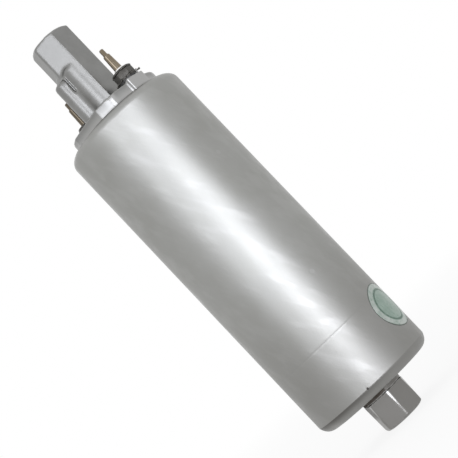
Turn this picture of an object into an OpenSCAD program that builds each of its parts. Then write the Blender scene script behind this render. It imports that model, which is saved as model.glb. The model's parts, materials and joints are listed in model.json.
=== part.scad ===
// Inline high pressure fuel pump with a gerotor pump pack and a two brush motor.
// Millimetres. The origin is the centre of the inlet port's mouth.
// +Z runs along the pump axis to the outlet port, and +X points at the terminal with the dished washer.

/* [Casing] */
// Outside diameter of the casing tube
casing_d = 43; // [42:0.5:46]
// Length of the casing over its rolled ends
casing_len = 115.3; // [108:0.5:130]
// Wall thickness of the casing tube
casing_wall = 1.6; // [1.2:0.1:1.8]
// Outside radius of the rolled shoulders
shoulder_r = 3; // [2.5:0.1:3.6]
// Width of the lip that is rolled in over each end piece
lip_w = 2.4; // [2.3:0.1:2.6]
// Diameter of the round sticker on the casing
sticker_d = 16.3; // [12:0.1:20]
// Thickness of the sticker
sticker_t = 0.08; // [0.05:0.01:0.08]
// Height of the sticker's middle above the casing's lower end
sticker_rise = 17.8; // [14:0.1:60]
// Azimuth of the sticker's middle
sticker_turn = 20; // [0:1:60]

/* [Inlet fitting] */
// Size of the inlet hexagon across its flats
inlet_flats = 14; // [13.5:0.1:16]
// Length of the inlet hexagon
inlet_hex_len = 9.5; // [9:0.1:14]
// Azimuth of one corner of the inlet hexagon
inlet_hex_turn = -40; // [-60:1:0]
// Diameter of the round collar behind the hexagon
collar_d = 14.6; // [12:0.1:16]
// Length of the collar that stands out of the casing
collar_len = 2; // [1.5:0.1:4]
// Thickness of the inlet fitting's disc inside the casing
inlet_disc_len = 9; // [8.5:0.1:12]

/* [Ports] */
// Diameter of both threaded port holes at the thread crests
port_d = 8.92; // [8.5:0.02:9.2]
// Depth of the inlet port's thread
inlet_thread_len = 9.5; // [8:0.1:10]
// Depth of the outlet port's thread
outlet_thread_len = 11; // [9:0.1:12]
// Width of the bevel round each port's mouth
port_bevel = 0.45; // [0.3:0.05:0.5]
// Diameter of the plain passage behind the inlet port
passage_d = 6.8; // [5:0.1:7.5]

/* [Outlet cap] */
// Height of the cap's rim above the casing's upper end
rim_rise = 4.2; // [4:0.1:6]
// Gap between the cap's rim and the rolled lip
rim_gap = 0.7; // [0.4:0.1:0.8]
// Radius of the rounded edge round the cap's rim
rim_round = 1; // [0.6:0.1:1.4]
// Height of the terminal pads above the rim
pad_rise = 0.6; // [0.3:0.1:1.5]
// Width of a terminal pad
pad_w = 7.6; // [7:0.1:9]
// Depth of the rim's flats where they meet a terminal pad
pocket_depth = 1.1; // [0.4:0.1:1.4]
// Depth of the rim's side flats under its round
side_inset = 2.6; // [2:0.1:3]
// Thickness of the cap's disc inside the casing
cap_base_len = 7; // [6.6:0.1:9]
// Size of the outlet tower's hexagon across its flats
tower_flats = 13.5; // [12.6:0.1:14]
// Height of the outlet tower above the casing's upper end
tower_rise = 33.8; // [33:0.1:40]
// Slope of the bevel round the free end of both hexagons
hex_bevel = 30; // [20:1:40]
// Radius of the fillet at the tower's foot
tower_fillet = 1.6; // [1:0.1:2]
// Distance of the side column's axis from the pump axis
column_offset = 8.7; // [8.2:0.1:9.2]
// Diameter of the side column
column_d = 6.4; // [5.6:0.1:7]
// Height of the side column's shoulder above the casing's upper end
column_rise = 19.6; // [18:0.1:24]
// Radius of the hollow between the column and the tower's faces
column_fillet = 2; // [1.2:0.1:2.4]

/* [Terminals] */
// Distance of the terminals from the rim's edge
terminal_inset = 3.5; // [3.4:0.1:3.8]
// Diameter of the terminal studs
stud_d = 2.9; // [2.6:0.05:3.1]
// Diameter of the studs' plain tips
tip_d = 1.46; // [1.2:0.05:2]
// Length of the studs' plain tips
tip_len = 2.8; // [2:0.1:4]
// Height of the right stud's tip above the casing's upper end
right_rise = 17.9; // [17:0.1:22]
// How much lower the left stud ends
left_drop = 0.3; // [0:0.1:2]
// Size of the terminal nuts across their flats
nut_flats = 6.2; // [5.5:0.1:6.6]
// Thickness of the terminal nuts
nut_len = 2.4; // [2.2:0.1:3.2]
// Diameter over the lock washers' teeth
lock_d = 8.8; // [8.4:0.1:9]
// Number of teeth on a lock washer
lock_teeth = 12; // [10:1:14]
// Thickness of the lock washers
lock_t = 0.6; // [0.4:0.1:0.8]
// Thickness of the insulating washers
insulator_t = 0.5; // [0.4:0.1:1]
// Height of the dished washer
dish_rise = 1.4; // [1:0.1:2]

/* [Pump pack] */
// Thickness of the inlet plate
inlet_plate_len = 6; // [5.5:0.1:8]
// Thickness of the rotors and of the ring round them
rotor_len = 8; // [7:0.1:10]
// Thickness of the outlet plate
outlet_plate_len = 7; // [6.5:0.1:9]
// Number of teeth in the outer rotor, one more than the inner rotor has lobes
rotor_teeth = 7; // [6:1:8]
// Width of the pump ring between its edge and the outer rotor, before the bore is set off centre
ring_w = 5.1; // [5:0.1:5.6]
// Distance of the circle on which the outer rotor's teeth are centred from that rotor's edge
tooth_inset = 2.6; // [2.5:0.1:3]
// How many times the rotors' offset goes into the tooth circle's radius
offset_ratio = 10; // [9.8:0.1:11]
// How many times a tooth's radius goes into the tooth circle's radius
tooth_ratio = 3; // [2.95:0.05:3.2]
// Gap between the rotors' teeth
tooth_gap = 0.06; // [0.05:0.01:0.08]
// Distance of the pump screws from the pump pack's edge
screw_inset = 2.4; // [2.3:0.05:2.6]
// Diameter of the pump screws
screw_d = 2.5; // [2:0.1:2.6]
// Distance of the relief valve's axis from the pump pack's edge
relief_inset = 3.2; // [3:0.05:3.3]
// Diameter of the relief valve's ball
ball_d = 3.8; // [3.4:0.1:3.9]

/* [Motor] */
// Diameter of the armature shaft
shaft_d = 6; // [5:0.1:6.2]
// Thickness of the magnets
magnet_t = 4.4; // [4:0.1:4.8]
// Number of slots in the armature's iron core
core_slots = 8; // [6:1:10]
// Gap between the core and the magnets
air_gap = 0.6; // [0.4:0.05:0.8]
// Wall thickness of the iron ring behind the magnets
flux_wall = 1.7; // [1.4:0.1:2]
// Angle that one magnet covers
magnet_turn = 124; // [110:1:128]
// Width of the commutator outside the brushes
commutator_rim = 0.9; // [0.6:0.1:1.2]
// Thickness of the commutator
commutator_len = 6; // [5:0.1:7]
// Width of a brush across the radius
brush_w = 6; // [5:0.1:6.6]
// Length of a new brush
brush_len = 10; // [8:0.1:11]
// Height of the brush holder
holder_len = 18.3; // [17.5:0.1:22]

/* [Check valve] */
// Diameter of the chamber that holds the check valve
chamber_d = 8; // [7.6:0.1:8.4]
// Diameter of the hole that the check valve closes
seat_d = 5.2; // [4.4:0.1:5.6]
// Height of the valve seat above the casing's upper end
seat_rise = 7.8; // [7:0.1:9]
// Diameter of the poppet's head
poppet_d = 6.4; // [6.2:0.1:6.6]
// Diameter of the poppet's stem
stem_d = 2; // [1.6:0.1:2.2]
// How far the poppet lifts
poppet_lift = 2; // [1.5:0.1:2.4]

/* [Hidden] */
$fn = 64;
// Running clearance on the radius round shafts, rotors and brushes
run_gap = 0.04;
// Clearance on the radius of parts that slide together when the pump is built
build_gap = 0.2;
// Gap left between faces that nearly touch
seat_gap = 0.03;
// Clearance on the radius of holes that screws and studs pass through
hole_gap = 0.1;
// Clearance on the radius of holes that the shaft passes without touching
shaft_gap = 0.3;
// A cut runs this far past the face that it opens
over = 0.5;

casing_r = casing_d / 2;
bore_r = casing_r - casing_wall;
pack_r = bore_r - build_gap;
lip_r = bore_r - lip_w;
rim_r = lip_r - rim_gap;

// Heights of the stack, from the inlet port's mouth up
z_casing = inlet_hex_len + collar_len;
z_top = z_casing + casing_len;
z_inlet_disc = z_casing + casing_wall;
z_inlet_plate = z_inlet_disc + inlet_disc_len;
z_ring = z_inlet_plate + inlet_plate_len;
z_outlet_plate = z_ring + rotor_len;
z_motor = z_outlet_plate + outlet_plate_len;
z_cap = z_top - casing_wall - cap_base_len;
z_holder = z_cap - holder_len;
z_rim = z_top + rim_rise;
z_pad = z_rim + pad_rise;
z_tower = z_top + tower_rise;
z_seat = z_top + seat_rise;
z_chamber_top = z_tower - outlet_thread_len;

// Seal rings and their grooves
groove_depth = 1.6;
groove_w = 2.3;
groove_r = pack_r - groove_depth;
seal_r = (bore_r - groove_r) / 2 - seat_gap / 2;
groove_rise = 3.6;
z_inlet_groove = z_inlet_plate - groove_rise;
z_cap_groove = z_cap + groove_rise;

// Inlet fitting
fitting_recess = 0.5;
strainer_t = 1.4;
strainer_mesh_t = 0.4;
strainer_inset = 6.5;
strainer_r = pack_r - strainer_inset;
strainer_step = 1.7;
strainer_hole_r = 0.65;
strainer_frame_w = 1.7;
chamber_depth = 4.2;
z_strainer = z_inlet_plate - chamber_depth;
chamber_floor = z_strainer - 1.5;

// Rotors and pump pack
outer_rotor_r = pack_r - ring_w;
tooth_circle_r = outer_rotor_r - tooth_inset;
tooth_r = tooth_circle_r / tooth_ratio;
rotor_offset = tooth_circle_r / offset_ratio;
kidney_inner_r = tooth_circle_r - tooth_r - rotor_offset / 2;
kidney_outer_r = tooth_circle_r - tooth_r + 2 * rotor_offset;
rotor_root_r = kidney_outer_r + hole_gap;
rotor_bore_r = outer_rotor_r + 2 * run_gap;
lobe_points = 24;
point_crowding = 0.75;
kidney_start = 24;
kidney_end = 156;
screw_circle_r = pack_r - screw_inset;
screw_turns = [60, 120, 240, 300];
screw_head_r = screw_d / 2 + 0.65;
screw_head_len = 2;
screw_floor = 1;
dowel_r = 1;
dowel_inset = 2.3;
dowel_circle_r = pack_r - dowel_inset;
dowel_depth = 3;
bush_r = shaft_d / 2 + 1.8;
bush_sill = 1.5;
bush_stand = 1;
relief_x = pack_r - relief_inset;
relief_bore_r = ball_d / 2 + 0.1;
relief_seat_r = ball_d / 2 * 0.68;
ball_drop = sqrt(pow(ball_d / 2, 2) - pow(relief_seat_r, 2)) + seat_gap;
z_ball = z_outlet_plate - ball_drop;
relief_plug_len = 2.5;
relief_slot_h = 1.5;
relief_slot_w = 2;
z_relief_plug = z_inlet_plate + relief_slot_h + 0.8;
relief_spring_r = ball_d / 2 - 0.5;
relief_wire = 0.4;
shaft_flats = shaft_d * 0.77;

// The brushes stand between the shaft bush's seat and the heads of the terminal studs
terminal_x = rim_r - terminal_inset;
stud_head_r = stud_d / 2 + 0.75;
stud_head_len = 1.6;
bush_seat_wall = 0.7;
brush_inner = shaft_d / 2 + 1.3 + bush_seat_wall + 0.1;
brush_outer = terminal_x - stud_head_r - 1;
brush_depth = brush_outer - brush_inner;
brush_offset = (brush_outer + brush_inner) / 2;
commutator_r = brush_outer + commutator_rim;

// Motor
flux_r = pack_r - flux_wall;
magnet_r = flux_r - seat_gap;
magnet_bore_r = magnet_r - magnet_t;
core_r = magnet_bore_r - air_gap;
winding_end = 5.5;
winding_start = 2.8;
winding_bore_gap = 1.6;
slot_paper_t = 0.15;
z_core = z_motor + winding_start + winding_end;
z_commutator_top = z_holder - 2.3;
z_commutator = z_commutator_top - commutator_len;
commutator_stand = 2;
z_core_top = z_commutator - commutator_stand - winding_end;
core_len = z_core_top - z_core;
slot_neck = 1.6;
slot_top_r = core_r - 1.2;
slot_foot_r = 6.5;
slot_foot_half = 1.2;
slot_top_half = slot_top_r * tan(180 / core_slots) - 1.6;
magnet_over = 4;
clip_t = 0.8;
clip_gap = 0.5;
shaft_bush_r = shaft_d / 2 + 1.3;
shaft_bush_len = 7.5;
deck_rise = 1.2;
deck_t = 3;
z_deck = z_holder + deck_rise;
z_shaft_bush = z_deck + 2;
z_shaft_top = z_shaft_bush + shaft_bush_len + 1;
well_gap = 0.1;
well_wall = 0.7;
strap_t = 0.8;
strap_w = 7.4;
strap_drop = 2.2;
z_strap = z_cap - strap_drop;
z_brush = z_commutator_top + seat_gap;
z_brush_top = z_brush + brush_len;
brush_wire = 0.45;
brush_spring_r = brush_depth * 0.36;
peg_r = brush_spring_r - brush_wire / 2 - 0.475;
peg_len = 1;

// Outlet cap
flat_turns = [39.5, 43.5];
side_flat = rim_r - side_inset;
side_flat_half = side_flat * tan(27);
cavity_h = 4;

// Terminals
stud_r = stud_d / 2;
shank_r = stud_r - 0.2;
stud_hole_r = stud_r + 0.05;
sleeve_r = 2.6;
sleeve_flange_r = 4;
sleeve_flange_len = 3;
cavity_r = terminal_x - sleeve_flange_r - build_gap - 0.6;
z_sleeve = z_strap + strap_t;
z_sleeve_top = z_sleeve + sleeve_flange_len;
washer_r = lock_d / 2 - 1;
z_lock = z_pad + insulator_t;
z_nut = z_lock + lock_t;
z_dish = z_nut + nut_len;
tooth_twist = 28;

// Check valve
chamber_r = chamber_d / 2;
seal_disc_t = 0.8;
seal_disc_r = poppet_d / 2 - 0.1;
head_t = 1.4;
cage_len = 3;
cage_rim_w = 1;
cage_hub_r = stem_d / 2 + 0.9;
cage_spoke_w = 1.1;
z_cage = z_chamber_top - cage_len;
z_poppet = z_seat + seat_gap + seal_disc_t;
z_stem_top = z_chamber_top - poppet_lift + build_gap;
valve_spring_r = stem_d / 2 + 1.25;
valve_wire = 0.55;

silver = [0.72, 0.72, 0.7];
cast_silver = [0.66, 0.66, 0.64];
steel = [0.55, 0.56, 0.58];
dark_steel = [0.27, 0.25, 0.23];
brass = [0.72, 0.6, 0.38];
copper = [0.72, 0.4, 0.22];
carbon = [0.16, 0.16, 0.17];
rubber = [0.1, 0.1, 0.1];
nylon = [0.82, 0.8, 0.72];
black_plastic = [0.15, 0.15, 0.16];
sticker_green = [0.66, 0.76, 0.68];

// The direction of an angle, one long
function way(turn) = [cos(turn), sin(turn)];

// A flat sector from one azimuth to another, large enough to cut any ring here
module sector(from, to, reach) {
    steps = ceil((to - from) / 45);
    polygon(concat([[0, 0]], [for (i = [0:steps])
        let (a = from + (to - from) * i / steps) reach * [cos(a), sin(a)]]));
}

// A ring, open or cut to a sector
module ring(outer, inner, height) {
    difference() {
        cylinder(r = outer, h = height);
        translate([0, 0, -over]) cylinder(r = inner, h = height + 2 * over);
    }
}

module ring_sector(outer, inner, height, from, to) {
    linear_extrude(height) intersection() {
        difference() {
            circle(outer);
            circle(inner);
        }
        sector(from, to, 2 * outer);
    }
}

// A slot that follows a circle. Its round ends stand a hair inside its walls, so no face runs out to nothing.
module kidney(height) {
    mid = (kidney_inner_r + kidney_outer_r) / 2;
    end_r = (kidney_outer_r - kidney_inner_r) / 2 - seat_gap;
    ring_sector(kidney_outer_r, kidney_inner_r, height, kidney_start, kidney_end);
    for (a = [kidney_start, kidney_end])
        rotate(a) translate([mid, 0, 0]) cylinder(r = end_r, h = height);
}

module seal_ring(middle) {
    translate([0, 0, middle]) rotate_extrude()
        translate([groove_r + seal_r + seat_gap / 4, 0]) circle(seal_r);
}

module seal_groove(middle) {
    translate([0, 0, middle - groove_w / 2]) ring(pack_r + over, groove_r, groove_w);
}

// An end piece's disc, whose lower edge is turned off to clear the rolled shoulder's inside
module end_disc(length) {
    bevel = shoulder_r - casing_wall;
    cylinder(r1 = pack_r - bevel, r2 = pack_r, h = bevel);
    translate([0, 0, bevel]) cylinder(r = pack_r, h = length - bevel);
}

// A hexagon bar whose free end, at the top, is turned to a bevel
module hex_bar(flats, length) {
    land = 0.3;
    corner_r = flats / 2 / cos(30);
    flat_r = flats / 2 - land;
    drop = (corner_r - flat_r) * tan(hex_bevel);
    intersection() {
        cylinder(r = corner_r, h = length, $fn = 6);
        rotate_extrude() polygon([
            [0, -over], [corner_r + over, -over], [corner_r + over, length - drop],
            [corner_r, length - drop], [flat_r, length], [0, length]
        ]);
    }
}

// The hole of a port, drawn down from its mouth at the origin
module port_hole(depth) {
    r = port_d / 2;
    translate([0, 0, -depth]) cylinder(r = r, h = depth + over);
    translate([0, 0, -port_bevel]) cylinder(r1 = r, r2 = r + port_bevel, h = port_bevel);
    cylinder(r = r + port_bevel, h = over);
}

// A coil spring wound from one closed tube, standing on the origin
module coil(mean_r, wire, length, turns) {
    sides = 6;
    steps = 14;
    rings = turns * steps;
    climb = length - wire;
    points = [for (i = [0:rings]) let (a = 360 * i / steps, z = wire / 2 + climb * i / rings)
        for (k = [0:sides - 1]) let (b = 360 * k / sides, r = mean_r + wire / 2 * cos(b))
            [r * cos(a), r * sin(a), z + wire / 2 * sin(b)]];
    walls = [for (i = [0:rings - 1]) for (k = [0:sides - 1])
        let (a = i * sides + k, b = i * sides + (k + 1) % sides)
            each [[a, b, b + sides], [a, b + sides, a + sides]]];
    lower = [for (k = [1:sides - 2]) [0, k + 1, k]];
    last = rings * sides;
    upper = [for (k = [1:sides - 2]) [last, last + k, last + k + 1]];
    polyhedron(points = points, faces = concat(walls, lower, upper));
}

// The tube with both shoulders rolled over the end pieces
module casing_profile(r, wall) {
    z1 = z_casing + wall;
    z2 = z_top - wall;
    fillet = shoulder_r - wall;
    square_r = r - fillet;
    translate([0, z1]) square([square_r, z2 - z1]);
    translate([0, z1 + fillet]) square([r, z2 - z1 - 2 * fillet]);
    for (z = [z1 + fillet, z2 - fillet])
        translate([square_r, z]) circle(fillet);
}

module casing() {
    color(silver) rotate_extrude() difference() {
        casing_profile(casing_r, 0);
        casing_profile(bore_r, casing_wall);
        translate([0, z_casing - over]) square([lip_r, casing_len + 2 * over]);
    }
}

module inlet_fitting() {
    color(cast_silver) difference() {
        union() {
            translate([0, 0, inlet_hex_len]) rotate([180, 0, inlet_hex_turn])
                hex_bar(inlet_flats, inlet_hex_len);
            translate([0, 0, inlet_hex_len]) cylinder(d = collar_d, h = collar_len + casing_wall);
            translate([0, 0, z_casing + fitting_recess]) cylinder(r = rim_r, h = casing_wall);
            translate([0, 0, z_inlet_disc]) end_disc(inlet_disc_len);
        }
        mirror([0, 0, 1]) port_hole(inlet_thread_len);
        cylinder(d = passage_d, h = z_strainer);
        translate([0, 0, chamber_floor]) cylinder(r = strainer_r - strainer_step, h = inlet_disc_len);
        translate([0, 0, z_strainer]) cylinder(r = strainer_r + build_gap, h = inlet_disc_len);
        seal_groove(z_inlet_groove);
    }
}

module inlet_seal_ring() {
    color(rubber) seal_ring(z_inlet_groove);
}

// A pressed frame with a perforated screen across it
module inlet_strainer() {
    hole_spacing = 2.4;
    hole_rows = floor((strainer_r - strainer_frame_w - 2 * strainer_hole_r) / hole_spacing);
    color(steel) translate([0, 0, z_strainer]) {
        ring(strainer_r, strainer_r - strainer_frame_w, strainer_t);
        difference() {
            cylinder(r = strainer_r - strainer_frame_w, h = strainer_mesh_t);
            for (row = [1:hole_rows])
                for (k = [0:6 * row - 1])
                    rotate(60 * k / row) translate([hole_spacing * row, 0, -over])
                        cylinder(r = strainer_hole_r, h = strainer_mesh_t + 2 * over, $fn = 16);
        }
    }
}

module at_screws() {
    for (a = screw_turns)
        rotate(a) translate([screw_circle_r, 0, 0]) children();
}

module at_dowels() {
    for (a = [90, 270])
        rotate(a) translate([dowel_circle_r, 0, 0]) children();
}

module inlet_plate() {
    color(steel) translate([0, 0, z_inlet_plate]) difference() {
        cylinder(r = pack_r, h = inlet_plate_len);
        translate([-rotor_offset / 2, 0, -over]) kidney(inlet_plate_len + 2 * over);
        translate([0, 0, screw_floor]) at_screws()
            cylinder(r = screw_d / 2 + seat_gap, h = inlet_plate_len);
        translate([0, 0, inlet_plate_len - dowel_depth]) at_dowels()
            cylinder(r = dowel_r + seat_gap, h = dowel_depth + over);
        translate([relief_x, 0, z_relief_plug - z_inlet_plate])
            cylinder(r = relief_bore_r, h = inlet_plate_len);
        translate([relief_x, 0, -over]) cylinder(r = relief_slot_w / 2, h = inlet_plate_len);
        translate([strainer_r - relief_slot_w, -relief_slot_w / 2, -over])
            cube([relief_x - strainer_r + relief_slot_w, relief_slot_w, relief_slot_h + over]);
    }
}

module pump_ring() {
    color(steel) translate([0, 0, z_ring]) difference() {
        cylinder(r = pack_r, h = rotor_len);
        translate([0, 0, -over]) {
            translate([-rotor_offset, 0, 0]) cylinder(r = rotor_bore_r, h = rotor_len + 2 * over);
            at_screws() cylinder(r = screw_d / 2 + hole_gap, h = rotor_len + 2 * over);
            at_dowels() cylinder(r = dowel_r + seat_gap, h = rotor_len + 2 * over);
            translate([relief_x, 0, 0]) cylinder(r = relief_bore_r, h = rotor_len + 2 * over);
        }
    }
}

// The outer rotor's teeth are plain round noses, evenly spaced on one circle
module outer_rotor() {
    height = rotor_len - 2 * seat_gap;
    color(dark_steel) translate([-rotor_offset, 0, z_ring + seat_gap]) linear_extrude(height) difference() {
        circle(outer_rotor_r);
        difference() {
            circle(rotor_root_r);
            for (k = [0:rotor_teeth - 1])
                rotate(360 * k / rotor_teeth) translate([tooth_circle_r, 0]) circle(tooth_r);
        }
    }
}

// Where the middle of an outer tooth passes, seen from the turning inner rotor
function tooth_path(a) = tooth_circle_r * [cos(a), sin(a)]
    - rotor_offset * [cos(rotor_teeth * a), sin(rotor_teeth * a)];

function path_direction(a) = tooth_circle_r * [-sin(a), cos(a)]
    - rotor_offset * rotor_teeth * [-sin(rotor_teeth * a), cos(rotor_teeth * a)];

// The inner rotor's outline lies one tooth radius and the tooth gap inside that path
function lobe_point(a) = let (d = path_direction(a), n = [-d[1], d[0]] / norm(d))
    tooth_path(a) + (tooth_r + tooth_gap) * n;

// Points crowd towards the hollows, where the outline bends most
function crowded(t) = (t - point_crowding * sin(t) * 180 / PI) / (rotor_teeth - 1);

module double_flat(r, flats) {
    intersection() {
        circle(r);
        square([2 * r, flats], center = true);
    }
}

module inner_rotor() {
    count = lobe_points * (rotor_teeth - 1);
    height = rotor_len - 2 * seat_gap;
    color(steel) translate([0, 0, z_ring + seat_gap]) linear_extrude(height) difference() {
        polygon([for (i = [0:count - 1]) lobe_point(crowded(360 * i / lobe_points))]);
        double_flat(shaft_d / 2 + run_gap, shaft_flats + 2 * run_gap);
    }
}

module outlet_plate() {
    color(steel) translate([0, 0, z_outlet_plate]) difference() {
        cylinder(r = pack_r, h = outlet_plate_len);
        translate([-rotor_offset / 2, 0, -over]) rotate(180) mirror([1, 0, 0])
            kidney(outlet_plate_len + 2 * over);
        translate([0, 0, -over]) cylinder(r = shaft_d / 2 + shaft_gap, h = outlet_plate_len);
        translate([0, 0, bush_sill]) cylinder(r = bush_r + seat_gap, h = outlet_plate_len);
        translate([0, 0, -over]) at_screws() cylinder(r = screw_d / 2 + hole_gap, h = outlet_plate_len);
        translate([0, 0, outlet_plate_len - screw_head_len]) at_screws()
            cylinder(r = screw_head_r + hole_gap, h = screw_head_len + over);
        translate([0, 0, -over]) at_dowels() cylinder(r = dowel_r + seat_gap, h = dowel_depth + over);
        translate([relief_x, 0, -over]) cylinder(r = relief_seat_r, h = outlet_plate_len + 2 * over);
    }
}

module plate_bush() {
    color(brass) translate([0, 0, z_outlet_plate + bush_sill])
        ring(bush_r, shaft_d / 2 + run_gap, outlet_plate_len - bush_sill + bush_stand);
}

module pump_screws() {
    shank = rotor_len + outlet_plate_len - screw_head_len + inlet_plate_len - screw_floor - 0.6;
    color(steel) at_screws() translate([0, 0, z_motor - screw_head_len]) difference() {
        union() {
            cylinder(r = screw_head_r, h = screw_head_len);
            translate([0, 0, -shank]) cylinder(d = screw_d, h = shank);
        }
        translate([0, 0, screw_head_len / 2]) cylinder(d = screw_d * 0.9, h = screw_head_len, $fn = 6);
    }
}

module dowel_pins() {
    color(steel) at_dowels() translate([0, 0, z_ring - dowel_depth + seat_gap])
        cylinder(r = dowel_r, h = rotor_len + 2 * dowel_depth - 2 * seat_gap);
}

module relief_plug() {
    color(brass) translate([relief_x, 0, z_relief_plug])
        ring(relief_bore_r - seat_gap, relief_slot_w / 2 - hole_gap, relief_plug_len);
}

module relief_spring() {
    seat = z_relief_plug + relief_plug_len;
    touch = z_ball - sqrt(pow(ball_d / 2, 2) - pow(relief_spring_r, 2));
    color(steel) translate([relief_x, 0, seat])
        coil(relief_spring_r, relief_wire, touch - seat - hole_gap, 5);
}

module relief_ball() {
    color(steel) translate([relief_x, 0, z_ball]) sphere(d = ball_d);
}

module flux_ring() {
    color(steel) translate([0, 0, z_motor]) ring(pack_r, flux_r, z_holder - z_motor);
}

module magnet(turn) {
    height = core_len + 2 * magnet_over;
    color(dark_steel) translate([0, 0, z_core - magnet_over])
        ring_sector(magnet_r, magnet_bore_r, height, turn - magnet_turn / 2, turn + magnet_turn / 2);
}

module magnet_front() {
    magnet(270);
}

module magnet_back() {
    magnet(90);
}

// Bowed strips that push the two magnets apart
module magnet_clips() {
    half = 90 - magnet_turn / 2 - clip_gap;
    tab = 2;
    inner = (magnet_bore_r + magnet_r) / 2;
    outer = magnet_r - build_gap;
    color(steel) for (turn = [0, 180])
        translate([0, 0, z_core]) rotate(turn) {
            ring_sector(outer, outer - clip_t, core_len, -half, half);
            ring_sector(outer, inner, core_len, half - tab, half);
            ring_sector(outer, inner, core_len, -half, tab - half);
        }
}

module armature_shaft() {
    start = z_ring + build_gap;
    color(steel) {
        translate([0, 0, start]) linear_extrude(z_outlet_plate + build_gap - start)
            double_flat(shaft_d / 2, shaft_flats);
        translate([0, 0, z_outlet_plate + build_gap])
            cylinder(d = shaft_d, h = z_shaft_top - z_outlet_plate - build_gap);
    }
}

module thrust_washer() {
    thrust_t = 0.8;
    color(brass) translate([0, 0, z_motor + bush_stand + hole_gap])
        ring(bush_r + thrust_t, shaft_d / 2 + run_gap, thrust_t);
}

module slot_shape(shrink) {
    foot = slot_foot_half - shrink;
    top = slot_top_half - shrink;
    polygon([
        [slot_foot_r + shrink, -foot], [slot_top_r - shrink, -top],
        [slot_top_r - shrink, top], [slot_foot_r + shrink, foot]
    ]);
}

module armature_core() {
    color(steel) translate([0, 0, z_core]) linear_extrude(core_len) difference() {
        circle(core_r);
        circle(shaft_d / 2 + seat_gap);
        for (k = [0:core_slots - 1])
            rotate(360 * k / core_slots) {
                slot_shape(0);
                translate([slot_top_r - over, -slot_neck / 2]) square([2 * core_r, slot_neck]);
            }
    }
}

// The end turns are rounded rings, and the coil sides fill the core's slots
module winding_end_ring() {
    inner = shaft_d / 2 + winding_bore_gap;
    outer = slot_top_r;
    round = winding_end / 2.4;
    rotate_extrude() {
        translate([inner, 0]) square([outer - inner, winding_end - round]);
        translate([inner + round, 0]) square([outer - inner - 2 * round, winding_end]);
        for (x = [inner + round, outer - round])
            translate([x, winding_end - round]) circle(round);
    }
}

module armature_windings() {
    color(copper) {
        translate([0, 0, z_core_top]) winding_end_ring();
        translate([0, 0, z_core]) mirror([0, 0, 1]) winding_end_ring();
        translate([0, 0, z_core]) linear_extrude(core_len)
            for (k = [0:core_slots - 1])
                rotate(360 * k / core_slots) slot_shape(slot_paper_t);
    }
}

module commutator() {
    slit = 0.6;
    hub_r = shaft_d / 2 + 1.3;
    slit_depth = commutator_len * 0.4;
    riser = 1;
    color(copper) translate([0, 0, z_commutator]) difference() {
        union() {
            cylinder(r = commutator_r, h = commutator_len);
            translate([0, 0, -commutator_stand]) cylinder(r = hub_r, h = commutator_stand);
            for (k = [0:core_slots - 1])
                rotate(360 * (k + 0.5) / core_slots) translate([commutator_r - riser, -riser, 0])
                    cube([2 * riser, 2 * riser, riser]);
        }
        translate([0, 0, -commutator_stand - over])
            cylinder(r = shaft_d / 2 + seat_gap, h = commutator_len + commutator_stand + 2 * over);
        for (k = [0:core_slots - 1])
            rotate(360 * k / core_slots) translate([hub_r, -slit / 2, commutator_len - slit_depth])
                cube([2 * commutator_r, slit, commutator_len]);
    }
}

module well_box(grow, bottom, top) {
    for (side = [-1, 1])
        translate([side * brush_offset - brush_depth / 2 - grow, -brush_w / 2 - grow, bottom])
            cube([brush_depth + 2 * grow, brush_w + 2 * grow, top - bottom]);
}

// The moulded holder has a rim, a deck with fuel passages, two brush wells and the shaft bush's seat
module brush_holder() {
    rim_w = 2;
    seat_wall = 1.2;
    passage_half = 40;
    passage_rim = 1;
    color(nylon) difference() {
        union() {
            translate([0, 0, z_holder]) ring(pack_r, pack_r - rim_w, holder_len);
            translate([0, 0, z_deck]) cylinder(r = pack_r - rim_w + over, h = deck_t);
            translate([0, 0, z_deck]) cylinder(r = shaft_bush_r + seat_wall, h = z_shaft_top - z_deck);
            well_box(well_gap + well_wall, z_deck, z_strap);
        }
        translate([0, 0, z_deck - over]) cylinder(r = shaft_d / 2 + shaft_gap, h = holder_len);
        translate([0, 0, z_shaft_bush]) cylinder(r = shaft_bush_r + seat_gap, h = holder_len);
        well_box(well_gap, z_deck - over, z_strap + over);
        for (turn = [90, 270])
            translate([0, 0, z_deck - over])
                ring_sector(pack_r - rim_w - passage_rim, shaft_bush_r + seat_wall + passage_rim,
                    deck_t + 2 * over, turn - passage_half, turn + passage_half);
    }
}

module shaft_bush() {
    color(brass) translate([0, 0, z_shaft_bush])
        ring(shaft_bush_r, shaft_d / 2 + run_gap, shaft_bush_len);
}

module brush(side) {
    color(carbon) translate([side * brush_offset, 0, z_brush]) {
        translate([-brush_depth / 2, -brush_w / 2, 0]) cube([brush_depth, brush_w, brush_len]);
        translate([0, 0, brush_len]) cylinder(r = peg_r, h = peg_len);
    }
}

module brush_right() {
    brush(1);
}

module brush_left() {
    brush(-1);
}

module brush_spring(side) {
    color(steel) translate([side * brush_offset, 0, z_brush_top + seat_gap])
        coil(brush_spring_r, brush_wire, z_strap - z_brush_top - 2 * seat_gap, 6);
}

module brush_spring_right() {
    brush_spring(1);
}

module brush_spring_left() {
    brush_spring(-1);
}

module terminal_straps() {
    inner = brush_offset - brush_depth / 2 - 0.3;
    color(brass) for (turn = [0, 180])
        rotate(turn) difference() {
            union() {
                translate([inner, -strap_w / 2, z_strap])
                    cube([terminal_x + stud_head_r - inner, strap_w, strap_t]);
                translate([brush_offset, 0, z_strap - peg_len]) cylinder(r = peg_r, h = peg_len);
            }
            translate([terminal_x, 0, z_strap - over]) cylinder(r = stud_hole_r, h = strap_t + 2 * over);
        }
}

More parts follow.
